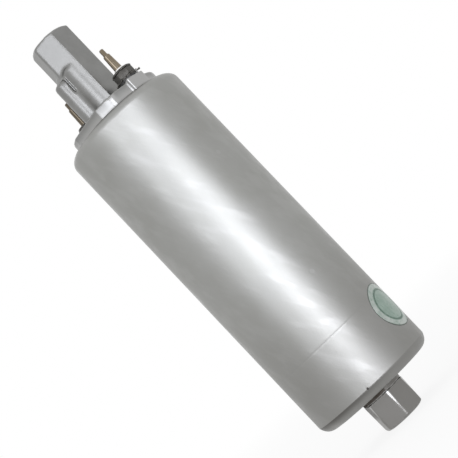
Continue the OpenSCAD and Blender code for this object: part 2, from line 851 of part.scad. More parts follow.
// A casting's side column, blended into the two tower faces beside it
module column_section() {
    r = column_d / 2;
    face = tower_flats / 2;
    f = column_fillet;
    // Place of the column's axis across and along the tower face that leans 30 degrees from it
    out = column_offset * cos(30) - face;
    along = column_offset * sin(30);
    reach = sqrt(pow(r + f, 2) - pow(f - out, 2));
    translate([0, -column_offset]) circle(r);
    for (side = [0, 1]) mirror([side, 0]) rotate(-60) difference() {
        translate([0, -along]) polygon([
            [face - 1, 0], [face + out, 0], [face + f, reach], [face - 1, reach]
        ]);
        translate([face + f, reach - along]) circle(f);
    }
}

module side_column() {
    r = column_d / 2;
    top = z_top + column_rise;
    foot = z_rim - 1;
    rounding = 1.3;
    slope = 45;
    web_rise = 2.4;
    stub_r = 2.3;
    stub_offset = column_offset - 0.7;
    stub_rise = 2.2;
    translate([0, -column_offset, foot]) rotate_extrude() {
        square([r, top - rounding - foot]);
        square([r - rounding, top - foot]);
        translate([r - rounding, top - rounding - foot]) circle(rounding);
    }
    translate([0, -stub_offset, foot]) cylinder(r = stub_r, h = top + stub_rise - stub_r - foot);
    translate([0, -stub_offset, top + stub_rise - stub_r]) sphere(stub_r);
    difference() {
        translate([0, 0, foot]) linear_extrude(top + web_rise - foot) column_section();
        translate([0, -tower_flats / 2, top + web_rise]) rotate([slope, 0, 0])
            translate([-tower_flats, -2 * tower_flats, 0]) cube(4 * tower_flats);
    }
}

// The point that lies past another one, by a share of the way to it
function past(from, to, share) = to + share * (to - from);

// What the rim's flats leave: two slanting flats and a side flat round each quarter
module rim_outline() {
    outside = rim_r + 3;
    share = 0.4;
    pad_corner = [sqrt(pow(rim_r, 2) - pow(pad_w / 2, 2)) - pocket_depth, pad_w / 2];
    pad_end = past(pad_corner, rim_r * way(flat_turns[0]), share);
    side_start = rim_r * way(flat_turns[1]);
    side_corner = [side_flat_half, side_flat];
    side_end = past(side_start, side_corner, share);
    difference() {
        circle(outside);
        for (turn = [0, 180]) for (side = [0, 1]) rotate(turn) mirror([0, side]) {
            polygon([pad_corner, pad_end, 2 * pad_end, [2 * outside, pad_corner[1]]]);
            polygon([side_end, past(side_corner, side_start, share), 2 * outside * way(flat_turns[1]),
                [side_end[0], 2 * outside]]);
            translate([-side_flat_half - over, side_flat]) square([2 * (side_flat_half + over), outside]);
        }
    }
}

module cap_rim() {
    inner = rim_r - rim_round;
    start = z_top - casing_wall - over;
    intersection() {
        rotate_extrude() {
            translate([0, start]) square([rim_r, z_rim - rim_round - start]);
            translate([0, start]) square([inner, z_rim - start]);
            translate([inner, z_rim - rim_round]) circle(rim_round);
        }
        translate([0, 0, start]) linear_extrude(z_rim - start) rim_outline();
    }
}

// The cast cap: disc, rim with terminal pads, hexagon tower, side column and the valve chamber
module outlet_cap() {
    sink = 1;
    foot_r = tower_flats / 2 + 0.4;
    color(cast_silver) difference() {
        union() {
            translate([0, 0, z_cap + cap_base_len]) mirror([0, 0, 1]) end_disc(cap_base_len);
            cap_rim();
            translate([0, 0, z_rim - rim_round - sink]) intersection() {
                cylinder(r = rim_r, h = rim_round + sink + pad_rise);
                translate([-rim_r, -pad_w / 2, 0]) cube([2 * rim_r, pad_w, rim_round + sink + pad_rise]);
            }
            translate([0, 0, z_rim - sink]) rotate(30) hex_bar(tower_flats, z_tower - z_rim + sink);
            rotate_extrude() difference() {
                translate([0, z_rim - sink]) square([foot_r + tower_fillet, sink + tower_fillet]);
                translate([foot_r + tower_fillet, z_rim + tower_fillet]) circle(tower_fillet);
            }
            side_column();
        }
        translate([0, 0, z_tower]) port_hole(outlet_thread_len);
        translate([0, 0, z_seat]) cylinder(r = chamber_r, h = z_chamber_top - z_seat + over);
        translate([0, 0, z_cap]) cylinder(d = seat_d, h = z_seat - z_cap + over);
        translate([0, 0, z_cap - over]) cylinder(r = cavity_r, h = cavity_h + over);
        for (side = [-1, 1]) translate([side * terminal_x, 0, z_cap - over]) {
            cylinder(r = sleeve_r + seat_gap, h = z_pad - z_cap + 2 * over);
            cylinder(r = sleeve_flange_r + build_gap, h = z_sleeve_top - z_cap + over);
        }
        seal_groove(z_cap_groove);
    }
}

module cap_seal_ring() {
    color(rubber) seal_ring(z_cap_groove);
}

// A stud with its head under the strap, a shank, a thread that stands free and a plain turned tip
module stud(side, rise, z_free) {
    shoulder = 0.5;
    tip_bevel = 0.3;
    z_tip = z_top + rise;
    color(brass) translate([side * terminal_x, 0, 0]) {
        translate([0, 0, z_strap - stud_head_len]) cylinder(r = stud_head_r, h = stud_head_len);
        translate([0, 0, z_strap]) cylinder(r = shank_r, h = z_free - z_strap);
        translate([0, 0, z_free]) cylinder(r = stud_r, h = z_tip - tip_len - shoulder - z_free);
        translate([0, 0, z_tip - tip_len - shoulder]) cylinder(r1 = stud_r, r2 = tip_d / 2, h = shoulder);
        translate([0, 0, z_tip - tip_len]) cylinder(d = tip_d, h = tip_len - tip_bevel);
        translate([0, 0, z_tip - tip_bevel])
            cylinder(r1 = tip_d / 2, r2 = tip_d / 2 - tip_bevel, h = tip_bevel);
    }
}

module stud_right() {
    stud(1, right_rise, z_dish + dish_rise);
}

module stud_left() {
    stud(-1, right_rise - left_drop, z_dish);
}

module at_terminals() {
    for (side = [-1, 1])
        translate([side * terminal_x, 0, 0]) children();
}

module terminal_sleeves() {
    color(black_plastic) at_terminals() difference() {
        union() {
            translate([0, 0, z_sleeve]) cylinder(r = sleeve_flange_r, h = sleeve_flange_len);
            translate([0, 0, z_sleeve]) cylinder(r = sleeve_r, h = z_pad - z_sleeve);
        }
        translate([0, 0, z_sleeve - over]) cylinder(r = stud_hole_r, h = z_pad - z_sleeve + 2 * over);
    }
}

module insulating_washers() {
    color(black_plastic) at_terminals() translate([0, 0, z_pad]) ring(washer_r, stud_hole_r, insulator_t);
}

module lock_washers() {
    tooth_len = 0.9;
    root_r = lock_d / 2 - tooth_len;
    tooth_w = PI * root_r / lock_teeth;
    tooth_t = lock_t / 2;
    root = 0.1;
    color(dark_steel) at_terminals() translate([0, 0, z_lock]) {
        ring(root_r, stud_hole_r, lock_t);
        for (k = [0:lock_teeth - 1])
            rotate(360 * k / lock_teeth) translate([root_r - root, 0, lock_t / 2])
                rotate([tooth_twist, 0, 0]) translate([0, -tooth_w / 2, -tooth_t / 2])
                    cube([tooth_len + root, tooth_w, tooth_t]);
    }
}

module terminal_nuts() {
    corner_r = nut_flats / 2 / cos(30);
    bevel = 0.35;
    bevel_h = bevel * 0.6;
    color(dark_steel) at_terminals() translate([0, 0, z_nut]) difference() {
        intersection() {
            cylinder(r = corner_r, h = nut_len, $fn = 6);
            rotate_extrude() polygon([
                [0, 0], [corner_r - bevel, 0], [corner_r, bevel_h], [corner_r, nut_len - bevel_h],
                [corner_r - bevel, nut_len], [0, nut_len]
            ]);
        }
        translate([0, 0, -over]) cylinder(r = stud_hole_r, h = nut_len + 2 * over);
    }
}

// A spring washer dished over the right stud, cut into petals round its edge
module dished_washer() {
    foot_r = nut_flats / 2 + 0.6;
    crown_r = stud_r + 0.6;
    t = 0.45;
    petals = 5;
    cut_w = 0.8;
    cut_depth = 0.9;
    color(dark_steel) translate([terminal_x, 0, z_dish]) difference() {
        rotate_extrude() polygon([
            [foot_r - t, 0], [foot_r, 0], [foot_r, t * 0.6], [crown_r, dish_rise],
            [stud_hole_r, dish_rise], [stud_hole_r, dish_rise - t], [crown_r - 0.2, dish_rise - t]
        ]);
        for (k = [0:petals - 1])
            rotate(360 * (k + 0.25) / petals) translate([foot_r - cut_depth, -cut_w / 2, -over])
                cube([cut_depth + over, cut_w, dish_rise + 2 * over]);
    }
}

module valve_poppet() {
    color(brass) {
        translate([0, 0, z_poppet]) cylinder(d = poppet_d, h = head_t);
        translate([0, 0, z_poppet + head_t]) cylinder(d = stem_d, h = z_stem_top - z_poppet - head_t);
    }
}

module valve_seal() {
    color(rubber) translate([0, 0, z_seat + seat_gap]) cylinder(r = seal_disc_r, h = seal_disc_t);
}

module valve_spring() {
    foot = z_poppet + head_t + seat_gap;
    color(steel) translate([0, 0, foot]) coil(valve_spring_r, valve_wire, z_cage - foot - seat_gap, 6);
}

// A spider pressed into the chamber's top, which guides the stem and stops the spring
module valve_cage() {
    outer = chamber_r - seat_gap;
    color(brass) translate([0, 0, z_cage]) {
        ring(outer, outer - cage_rim_w, cage_len);
        difference() {
            union() {
                cylinder(r = cage_hub_r, h = cage_len);
                for (turn = [0, 120, 240])
                    rotate(turn) translate([0, -cage_spoke_w / 2, 0])
                        cube([outer - cage_rim_w / 2, cage_spoke_w, cage_len]);
            }
            translate([0, 0, -over]) cylinder(r = stem_d / 2 + run_gap, h = cage_len + 2 * over);
        }
    }
}

module round_sticker() {
    inner = casing_r + 0.01;
    color(sticker_green) intersection() {
        translate([0, 0, z_casing]) ring(inner + sticker_t, inner, casing_len);
        translate([0, 0, z_casing + sticker_rise]) rotate(sticker_turn) rotate([0, 90, 0])
            cylinder(d = sticker_d, h = casing_d);
    }
}

casing();
inlet_fitting();
inlet_seal_ring();
inlet_strainer();
inlet_plate();
pump_ring();
outer_rotor();
inner_rotor();
outlet_plate();
plate_bush();
pump_screws();
dowel_pins();
relief_plug();
relief_spring();
relief_ball();
flux_ring();
magnet_front();
magnet_back();
magnet_clips();
armature_shaft();
thrust_washer();
armature_core();
armature_windings();
commutator();
brush_holder();
shaft_bush();
brush_right();
brush_left();
brush_spring_right();
brush_spring_left();
terminal_straps();
outlet_cap();
cap_seal_ring();
stud_right();
stud_left();
terminal_sleeves();
insulating_washers();
lock_washers();
terminal_nuts();
dished_washer();
valve_poppet();
valve_seal();
valve_spring();
valve_cage();
round_sticker();
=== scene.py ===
# %% [markdown]
# # Dressing an inline fuel pump
#
# The CAD model already has every piece of the pump at its real size. This lesson gives those pieces
# the look of the real thing: blasted metal, a die-cast end cap, turned hexagons, threads, washers and
# a foil sticker. Everything is built in metres in the CAD model's own frame, where Z runs along the
# pump from its inlet port at zero to its outlet port. Sizes are written in millimetres, and MM turns
# them into metres where a mesh or a node takes them.

import json
import math

import bmesh
import bpy
from mathutils import Matrix, Vector


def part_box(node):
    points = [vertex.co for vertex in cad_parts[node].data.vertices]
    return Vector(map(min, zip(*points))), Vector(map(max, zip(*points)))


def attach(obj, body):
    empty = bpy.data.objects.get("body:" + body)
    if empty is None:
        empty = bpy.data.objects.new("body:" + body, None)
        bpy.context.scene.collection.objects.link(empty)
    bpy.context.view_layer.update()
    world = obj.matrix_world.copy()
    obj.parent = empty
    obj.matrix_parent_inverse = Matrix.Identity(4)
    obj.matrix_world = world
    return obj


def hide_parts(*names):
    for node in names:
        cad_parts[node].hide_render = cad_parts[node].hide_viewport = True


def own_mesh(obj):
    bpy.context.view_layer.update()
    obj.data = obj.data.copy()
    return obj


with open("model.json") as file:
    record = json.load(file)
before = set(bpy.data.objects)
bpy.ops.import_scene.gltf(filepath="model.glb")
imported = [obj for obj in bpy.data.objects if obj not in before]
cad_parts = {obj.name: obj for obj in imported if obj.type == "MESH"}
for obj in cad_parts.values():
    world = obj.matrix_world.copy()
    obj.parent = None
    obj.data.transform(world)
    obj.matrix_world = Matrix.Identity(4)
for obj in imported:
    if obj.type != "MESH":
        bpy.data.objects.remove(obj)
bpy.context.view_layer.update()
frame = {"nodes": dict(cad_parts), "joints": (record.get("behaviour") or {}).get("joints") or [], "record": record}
nodes = frame["nodes"]
made = {}
MM = 0.001


def reach(node):
    """The lowest and the highest corner of a CAD node's box, in millimetres."""
    low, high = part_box(node)
    return Vector(low) / MM, Vector(high) / MM


def middle(node):
    low, high = reach(node)
    return (low + high) / 2


CASING_LOW, CASING_HIGH = (corner.z for corner in reach("casing"))

# %% [markdown]
# ## Two small helpers
#
# A pump is round, so most places on it are easiest to give as a distance from its axis, an azimuth and
# a height. And every object, from a washer to a lamp, is made of some data and has to be linked into
# the scene before it shows.

# %% Places and objects


def polar(radius, azimuth, height):
    """A point from its distance to the pump's axis, its azimuth and its height."""
    return Vector((radius * math.cos(azimuth), radius * math.sin(azimuth), height))


def put(name, data):
    """Adds an object to the scene."""
    thing = bpy.data.objects.new(name, data)
    bpy.context.scene.collection.objects.link(thing)
    return thing


print(f"the casing runs from {CASING_LOW:.1f} to {CASING_HIGH:.1f} mm")

# %% [markdown]
# ## Shader maths as plain expressions
#
# A material in Blender is a graph of nodes. Written out node by node, even a simple mask takes a page.
# `Wire` stands for one output of a node. Python lets a class say what + or > does with it, so here
# `a * 2 + b` or `1 - mask` adds the Math nodes by itself.

# %% Wires


def math_node(operation, swapped=False):
    """A method that sends a wire, and what it is joined with, into a Math node."""

    def method(self, *others):
        terms = (self, *others)
        return self.graph.sum_of(operation, *(terms[::-1] if swapped else terms))

    return method


class Wire:
    """One output of a shader's node, used in sums as if it were a number."""

    def __init__(self, graph, socket):
        self.graph, self.socket = graph, socket

    __add__ = __radd__ = math_node("ADD")
    __mul__ = __rmul__ = math_node("MULTIPLY")
    __sub__, __rsub__ = math_node("SUBTRACT"), math_node("SUBTRACT", swapped=True)
    __truediv__, __rtruediv__ = math_node("DIVIDE"), math_node("DIVIDE", swapped=True)
    __pow__, __rpow__ = math_node("POWER"), math_node("POWER", swapped=True)
    __gt__, __lt__ = math_node("GREATER_THAN"), math_node("LESS_THAN")
    __abs__ = math_node("ABSOLUTE")


print("wires are ready")

# %% [markdown]
# ## One graph, one way to add a node
#
# `Graph` holds a material, or the world that surrounds the pump. Every node comes from its method
# `node`, which sets the node's settings first, because they decide which sockets the node has, and then
# fills the sockets with values or wires. `feed` does the same for the shader itself.

# %% A graph of shader nodes


class Graph:
    """One material, or the world: its shader and the nodes that feed it."""

    SHADERS = {"materials": "ShaderNodeBsdfPrincipled", "worlds": "ShaderNodeBackground"}
    OUTPUTS = {"materials": "ShaderNodeOutputMaterial", "worlds": "ShaderNodeOutputWorld"}

    def __init__(self, name, kind="materials", **fixed):
        self.kind, self.owner = kind, getattr(bpy.data, kind).new(name)
        self.owner.use_nodes = True
        self.tree = self.owner.node_tree
        self.tree.nodes.clear()
        self.surface = self.node(self.SHADERS[kind], {})
        self.show(self.surface)
        self.feed(**fixed)
        made[name] = self.owner

    def show(self, shader):
        """Makes a shader the surface that a render shows."""
        for node in [n for n in self.tree.nodes if not n.outputs]:
            self.tree.nodes.remove(node)
        self.node(self.OUTPUTS[self.kind], {"Surface": shader})

    def plug(self, socket, value):
        if isinstance(value, Wire):
            self.tree.links.new(value.socket, socket)
        elif socket.type == "RGBA":
            socket.default_value = (*value, 1)
        else:
            socket.default_value = value

    def node(self, kind, inputs, output=0, **settings):
        """Adds a node: its settings first, then the values or wires of its sockets."""
        node = self.tree.nodes.new(kind)
        for name, value in settings.items():
            setattr(node, name, value)
        for name, value in inputs.items():
            self.plug(node.inputs[name], value)
        return Wire(self, node.outputs[output] if node.outputs else None)

    def sum_of(self, operation, *terms):
        return self.node("ShaderNodeMath", dict(enumerate(terms)), operation=operation)

    def vector(self, operation, *terms, output="Value"):
        sockets = dict(enumerate(terms))
        return self.node("ShaderNodeVectorMath", sockets, output=output, operation=operation)

    def feed(self, **sockets):
        """Sets or wires the shader's own sockets, base_color for Base Color and so on."""
        for name, value in sockets.items():
            title = name.replace("_", " ").title()
            self.plug(self.surface.socket.node.inputs[title], value)


print("shaders:", ", ".join(Graph.SHADERS.values()))

# %% [markdown]
# ## Where on the pump, and how much
#
# Most of a finish is masks: numbers from 0 to 1 that say where dirt, wear or a mark lies. They start
# from a place on the pump or from noise, and `spread` turns a stretch of those numbers into a soft 0 to
# 1. Handling rubs edges bright. The Bevel node finds them, because it gives the normal that a rounded
# edge would have, and near an edge that normal leans away from the true one. `plainly_seen` serves the
# studio: it tells the rays that show a background from those that carry its light.

# %% Masks and patterns


class Finish(Graph):
    """A graph that knows places on the pump, in millimetres, and a few patterns."""

    def place(self):
        return self.node("ShaderNodeTexCoord", {}, output="Object")

    def stretched(self, x=1, y=1, z=1, place=None):
        """The surface's own coordinates, with each axis multiplied: a small number draws grain out."""
        return self.vector("MULTIPLY", place or self.place(), (x, y, z), output="Vector")

    def along(self, axis):
        """How far a point lies along X, Y or Z, which are axes 0, 1 and 2."""
        return self.node("ShaderNodeSeparateXYZ", {0: self.place()}, output=axis) / MM

    def towards(self, azimuth):
        """How far a point lies from the pump's axis towards an azimuth."""
        return self.vector("DOT_PRODUCT", self.place(), polar(1, azimuth, 0)) / MM

    def radius(self):
        """Distance from the pump's axis."""
        return self.vector("LENGTH", self.stretched(z=0)) / MM

    def near(self, point, full, none):
        """1 within full of a point and 0 beyond none."""
        away = self.vector("DISTANCE", self.place(), Vector(point) * MM) / MM
        return self.spread(away, full, none, 1, 0)

    def spread(self, value, low, high, to_low=0, to_high=1):
        """Moves the stretch from low to high onto another, smoothly and with both ends held."""
        sockets = {"Value": value, "From Min": low, "From Max": high, "To Min": to_low, "To Max": to_high}
        return self.node("ShaderNodeMapRange", sockets, interpolation_type="SMOOTHSTEP")

    def cloud(self, scale, detail=3, place=None):
        """Soft noise from about 0.25 to 0.75, with scale features to a metre."""
        sockets = {"Vector": place or self.place(), "Scale": scale, "Detail": detail, "Roughness": 0.55}
        return self.node("ShaderNodeTexNoise", sockets)

    def cells(self, scale):
        """Distance from the nearest of many scattered points, with scale of them to a metre."""
        return self.node("ShaderNodeTexVoronoi", {"Vector": self.place(), "Scale": scale})

    def blend(self, first, second, factor):
        """A colour between two others."""
        sockets = {"Factor": factor, 6: first, 7: second}
        return self.node("ShaderNodeMix", sockets, output=2, data_type="RGBA")

    def relief(self, height, depth, strength):
        """A Bump node: height from 0 to 1 stands for depth."""
        return self.node("ShaderNodeBump", {"Height": height, "Distance": depth * MM, "Strength": strength})

    def worn_edges(self, width):
        """1 in patches along the edges, where handling rubs a surface, and 0 elsewhere."""
        soft = self.node("ShaderNodeBevel", {"Radius": width * MM}, samples=4)
        true = self.node("ShaderNodeNewGeometry", {}, output="Normal")
        edges = self.spread(self.vector("DOT_PRODUCT", soft, true), 0.95, 0.996, 1, 0)
        return edges * self.spread(self.cloud(700, detail=2), 0.36, 0.5)

    def plainly_seen(self):
        """1 for the rays that show plain white: the camera's, and those off metal or through glass."""
        rays = ("Is Camera Ray", "Is Glossy Ray", "Is Transmission Ray")
        shown = sum(self.node("ShaderNodeLightPath", {}, output=ray) for ray in rays)
        return self.sum_of("MINIMUM", shown, 1)


print("masks:", ", ".join(name for name in vars(Finish) if not name.startswith("_")))

# %% [markdown]
# ## The casing's metal
#
# The casing is a drawn tube that was blasted with fine beads and then plated, which leaves a satin
# grey. Fine noise makes the blasted skin and coarse noise the unevenness that breaks up the long
# highlight. Cloths wiped it at a slant, which is noise on coordinates that are turned and drawn out.
# Then come a few bright specks, a thin ring that a roller left and a nick. Painted shade darkens the
# lower end, the lower roll below its crisp line, most on the shaded side, and a band along the upper
# lip next to the seam: each mark is a mask by height, by distance or by azimuth.

# %% Casing metal
LIP_LOW, CRISP_LINE = CASING_LOW + 0.45, 3.15
CRISP_HEIGHT = LIP_LOW + CRISP_LINE
SHADED_SIDE = math.radians(-128)
WIPE_AXIS, WIPE_SLANT = (0.69, -0.72, 0), math.radians(-32)
RING_HEIGHT = 33.2
NICK = polar(21.5, math.radians(-53), 15.1)
BLASTED_DARK, BLASTED_LIGHT = (0.311, 0.312, 0.298), (0.335, 0.336, 0.324)
# Of the next line, the second colour is painted shade for the lower end and the third painted shade for the lower
# roll.
WIPED, LOW_END_PAINTED_SHADE, ROLL_PAINTED_SHADE = (0.39, 0.39, 0.385), (0.20, 0.195, 0.185), (0.07, 0.066, 0.06)
# The first colour of the next line is painted shade along the upper lip.
LIP_PAINTED_SHADE, NICK_DARK = (0.08, 0.074, 0.066), (0.03, 0.027, 0.025)


def blasted_metal():
    metal = Finish("casing_metal", metallic=1.0)
    height = metal.along(2)
    patches = metal.cloud(90, detail=4)
    speckle = metal.cloud(2600, detail=2)
    turn = {"Vector": metal.place(), "Axis": WIPE_AXIS, "Angle": WIPE_SLANT}
    slanted = metal.node("ShaderNodeVectorRotate", turn, rotation_type="AXIS_ANGLE")
    drawn = metal.stretched(z=0.22, place=slanted)
    wiped = metal.spread(metal.cloud(210, detail=4, place=drawn), 0.46, 0.66)
    specks = metal.spread(metal.cells(62), 0.035, 0.06, 1, 0)
    ring_mark = metal.spread(abs(height - RING_HEIGHT), 0, 0.5, 1, 0)
    nick = metal.near(NICK, 0.22, 0.5)
    below = CRISP_HEIGHT - height
    # Painted shade on the lower roll below the crisp line, strongest on the shaded side.
    roll = metal.spread(below, 0, 2.4, 1, 0) * (below > 0)
    roll = roll * metal.spread(metal.towards(SHADED_SIDE), -14, 16, 0.15, 1)

    shade = metal.blend(BLASTED_DARK, BLASTED_LIGHT, metal.spread(patches, 0.3, 0.7))
    shade = metal.blend(shade, WIPED, wiped * 0.22 + specks * 0.3)
    # Painted shade: the base colour darkens towards the lower end.
    shade = metal.blend(shade, LOW_END_PAINTED_SHADE, metal.spread(height, 10, 70, 0.5, 0))
    # Painted shade on the lower roll.
    shade = metal.blend(shade, ROLL_PAINTED_SHADE, roll * 0.75)
    # Painted shade in a band along the upper lip, next to the seam with the cap.
    shade = metal.blend(shade, LIP_PAINTED_SHADE, metal.spread(height, CASING_HIGH - 1.2, CASING_HIGH, 0, 0.6))
    shade = metal.blend(shade, NICK_DARK, nick * 0.95)

    sway = metal.cloud(28, detail=1, place=metal.stretched(z=0.6))
    lumps = patches * 0.25 + sway * 9 + wiped * 0.8 - specks * 1.5
    skin_height = speckle * 0.6 + lumps - ring_mark * 2 - nick * 2
    metal.feed(
        base_color=shade,
        roughness=speckle * 0.08 + patches * 0.14 + 0.35 - wiped * 0.05,
        normal=metal.relief(skin_height, 0.03, 0.5),
    )


blasted_metal()
print("casing metal has", len(made["casing_metal"].node_tree.nodes), "nodes")

# %% [markdown]
# ## The cast metal of the end pieces
#
# Both end pieces are castings that were tumbled and then turned on a lathe where they seal. Tumbling
# leaves a smooth grey skin. A painted highlight brightens the cap's outer rim, its outside just above
# the casing and the corners of the inlet's hexagon. Dirt with painted shade lies round the collar, most
# on its shaded side, and painted shade along the seam between cap and casing and on the shaded side of
# the hexagon's foot. Edges that stand proud are worn clean.

# %% Cast metal
COLLAR_LOW, CORNER_R = 10.0, 7.7
CAST_DARK, CAST_LIGHT, INLET_GREY = (0.222, 0.222, 0.216), (0.246, 0.246, 0.240), (0.215, 0.21, 0.20)
# All three colours of the next line are painted highlights: the hexagon's corners, the cap's outside just above
# the casing and its outer rim.
CORNER_PAINTED_HIGHLIGHT, LOW_RIM_PAINTED_HIGHLIGHT, OUTER_RIM_PAINTED_HIGHLIGHT = (0.62, 0.62, 0.61), (0.47, 0.47, 0.463), (0.38, 0.38, 0.374)
# The first colour of the next line is dirt with painted shade.
DIRT_AND_PAINTED_SHADE, CAST_RUBBED = (0.033, 0.025, 0.018), (0.52, 0.52, 0.51)


def dirt_and_painted_shade(metal, height, patches):
    """Dirt with painted shade round the collar, most on its shaded side, and painted shade at the hexagon's foot
    on its shaded side and along the seam between cap and casing.
    """
    across = metal.towards(SHADED_SIDE)
    collar = metal.spread(height, COLLAR_LOW, COLLAR_LOW + 0.5)
    collar = collar * metal.spread(height, CASING_LOW + 0.1, CASING_LOW + 1.1, 1, 0)
    # Painted shade: the collar darkens most on its shaded side.
    collar = collar * (metal.spread(across, -0.4, 0.3) * 0.6 + 0.3)
    # Painted shade at the hexagon's foot on its shaded side and along the seam.
    foot = metal.spread(across, 6.5, 6.9) * metal.spread(height, 4, 7) * (height < CASING_LOW)
    seam = metal.spread(abs(height - CASING_HIGH), 0.2, 1.1, 1, 0)
    return (collar + seam * 0.5 + foot * 0.6) * metal.spread(patches, 0.25, 0.6, 0.8, 1)


def cast_metal():
    metal = Finish("cast_metal", metallic=1.0)
    height, radius = metal.along(2), metal.radius()
    patches = metal.cloud(260, detail=4)
    speckle = metal.cloud(3500, detail=2)
    on_cap = height > CASING_HIGH
    # Painted highlight along the corners of the inlet's hexagon.
    corner = metal.spread(radius, CORNER_R, CORNER_R + 0.1) * (height < COLLAR_LOW)
    # Painted highlight on the cap's outside just above the casing, fading upwards.
    low_rim_highlight = metal.spread(height, CASING_HIGH + 1, CASING_HIGH + 4, 0.5, 0)
    low_rim_highlight = low_rim_highlight * metal.spread(radius, 13.4, 13.9) * on_cap
    # Painted highlight on the cap's outer rim.
    outer_rim_highlight = metal.spread(radius, 16.2, 16.6) * on_cap
    dirt_and_shade = dirt_and_painted_shade(metal, height, patches)

    shade = metal.blend(CAST_DARK, CAST_LIGHT, metal.spread(patches, 0.3, 0.7))
    shade = metal.blend(shade, INLET_GREY, metal.spread(height, CASING_HIGH / 2, CASING_HIGH, 1, 0))
    shade = metal.blend(shade, CORNER_PAINTED_HIGHLIGHT, corner * 0.8)
    shade = metal.blend(shade, LOW_RIM_PAINTED_HIGHLIGHT, low_rim_highlight)
    shade = metal.blend(shade, OUTER_RIM_PAINTED_HIGHLIGHT, outer_rim_highlight)
    # Dirt with painted shade in the low places and on the shaded side.
    shade = metal.blend(shade, DIRT_AND_PAINTED_SHADE, dirt_and_shade)
    shade = metal.blend(shade, CAST_RUBBED, metal.worn_edges(0.5) * (1 - dirt_and_shade) * 0.6)
    metal.feed(
        base_color=shade,
        roughness=patches * 0.08 + 0.32 + dirt_and_shade * 0.15,
        normal=metal.relief(speckle * 0.06 + patches * 0.94, 0.02, 0.2),
    )


cast_metal()
print("cast metal has", len(made["cast_metal"].node_tree.nodes), "nodes")

# %% [markdown]
# ## The other metals
#
# Brass studs, dark plated nuts, ground plates, sintered rotors, springs and copper all share one
# recipe: two close colours that a noise blends, a grain that may be drawn out along or round the part,
# a roughness that follows the same noise, and edges that are worn brighter. Two of them carry painted
# light: painted shade darkens the left stud, and a near-white painted glint sits on the domed washer's
# crown.

# %% One recipe for the plain metals
# The first colour of the next line is a painted glint for the domed washer's crown, the second painted shade for
# the left stud.
CROWN_PAINTED_GLINT, LEFT_STUD_PAINTED_SHADE = (0.8, 0.79, 0.76), (0.10, 0.085, 0.065)


def plain_metal(name, dark, light, rough, patch=400, grain=3000, draw=(1, 1, 1), depth=0.02,
                metallic=1.0, painted_glint=None, left_painted_shade=None):
    """The next-to-last argument gives the mask of a painted glint, and the last a colour of painted shade for the
    side towards minus X.
    """
    metal = Finish(name, metallic=metallic)
    patches = metal.cloud(patch, detail=4)
    fine = metal.cloud(grain, detail=2, place=metal.stretched(*draw))
    wear = metal.worn_edges(0.2)
    brighter = tuple(min(0.85, c * 1.7 + 0.05) for c in light)
    shade = metal.blend(dark, light, metal.spread(patches * 0.6 + fine * 0.4, 0.35, 0.65))
    shade = metal.blend(shade, brighter, wear * 0.6)
    roughness = fine * 0.14 + patches * 0.08 + (rough - 0.11) - wear * 0.08
    # Painted shade on the side towards minus X.
    if left_painted_shade:
        shade = metal.blend(shade, left_painted_shade, metal.spread(metal.along(0), -2, 2, 0.8, 0))
    # A near-white painted glint, with lower roughness.
    if painted_glint:
        bright = painted_glint(metal)
        shade = metal.blend(shade, CROWN_PAINTED_GLINT, bright)
        roughness = roughness - bright * 0.3
    metal.feed(base_color=shade, roughness=roughness, normal=metal.relief(fine, depth, 0.5))


def crown_glint(metal):
    """Where a near-white glint is painted on the domed washer's crown."""
    crown = reach("dished_washer")[1].z
    return metal.near((middle("dished_washer").x, 0, crown - 0.3), 1.8, 2.1)


plain_metal("stud_brass", (0.20, 0.165, 0.12), (0.235, 0.20, 0.15), 0.12, patch=500, draw=(1, 1, 0.2),
            depth=0.003, left_painted_shade=LEFT_STUD_PAINTED_SHADE)
plain_metal("dark_steel", (0.055, 0.052, 0.046), (0.082, 0.078, 0.069), 0.5, patch=900, metallic=0.5,
            painted_glint=crown_glint)
plain_metal("bright_steel", (0.36, 0.36, 0.36), (0.48, 0.48, 0.48), 0.24)
plain_metal("ground_steel", (0.34, 0.34, 0.34), (0.50, 0.50, 0.50), 0.32, draw=(0.15, 1, 1))
plain_metal("sintered_iron", (0.13, 0.13, 0.135), (0.21, 0.21, 0.215), 0.5, grain=5000, depth=0.04)
plain_metal("bush_bronze", (0.42, 0.29, 0.14), (0.58, 0.43, 0.24), 0.36, grain=5000)
plain_metal("spring_steel", (0.28, 0.28, 0.30), (0.42, 0.42, 0.44), 0.28, grain=6000)
plain_metal("core_iron", (0.17, 0.17, 0.18), (0.30, 0.30, 0.31), 0.4, draw=(0.3, 0.3, 6), depth=0.05)
plain_metal("commutator_copper", (0.55, 0.26, 0.14), (0.74, 0.40, 0.23), 0.28, grain=4000)
plain_metal("magnet_ferrite", (0.05, 0.05, 0.055), (0.085, 0.085, 0.09), 0.6, depth=0.04, metallic=0.0)
plain_metal("brush_carbon", (0.03, 0.03, 0.032), (0.06, 0.06, 0.062), 0.55, depth=0.04, metallic=0.2)
print(len(made), "finishes so far")

# %% [markdown]
# ## Rubber, plastic and wound wire
#
# The seals are black rubber with a dusty bloom, the sleeves black nylon and the brush holder a pale
# moulded nylon. None of them is metal, so their colour comes from light that enters the surface. The
# windings are enamelled copper wire: a fine wave across the coil stands for its turns.

# %% Rubber, plastic and windings


def moulded(name, dark, light, rough):
    stuff = Finish(name)
    patches = stuff.cloud(500, detail=5)
    fine = stuff.cloud(4000, detail=2)
    chafed = tuple(c * 1.25 + 0.02 for c in light)
    shade = stuff.blend(dark, light, stuff.spread(patches, 0.35, 0.65))
    stuff.feed(
        base_color=stuff.blend(shade, chafed, stuff.worn_edges(0.2) * 0.5),
        roughness=patches * 0.16 + fine * 0.1 + (rough - 0.13),
        normal=stuff.relief(fine * 0.5 + patches * 0.5, 0.03, 0.5),
    )


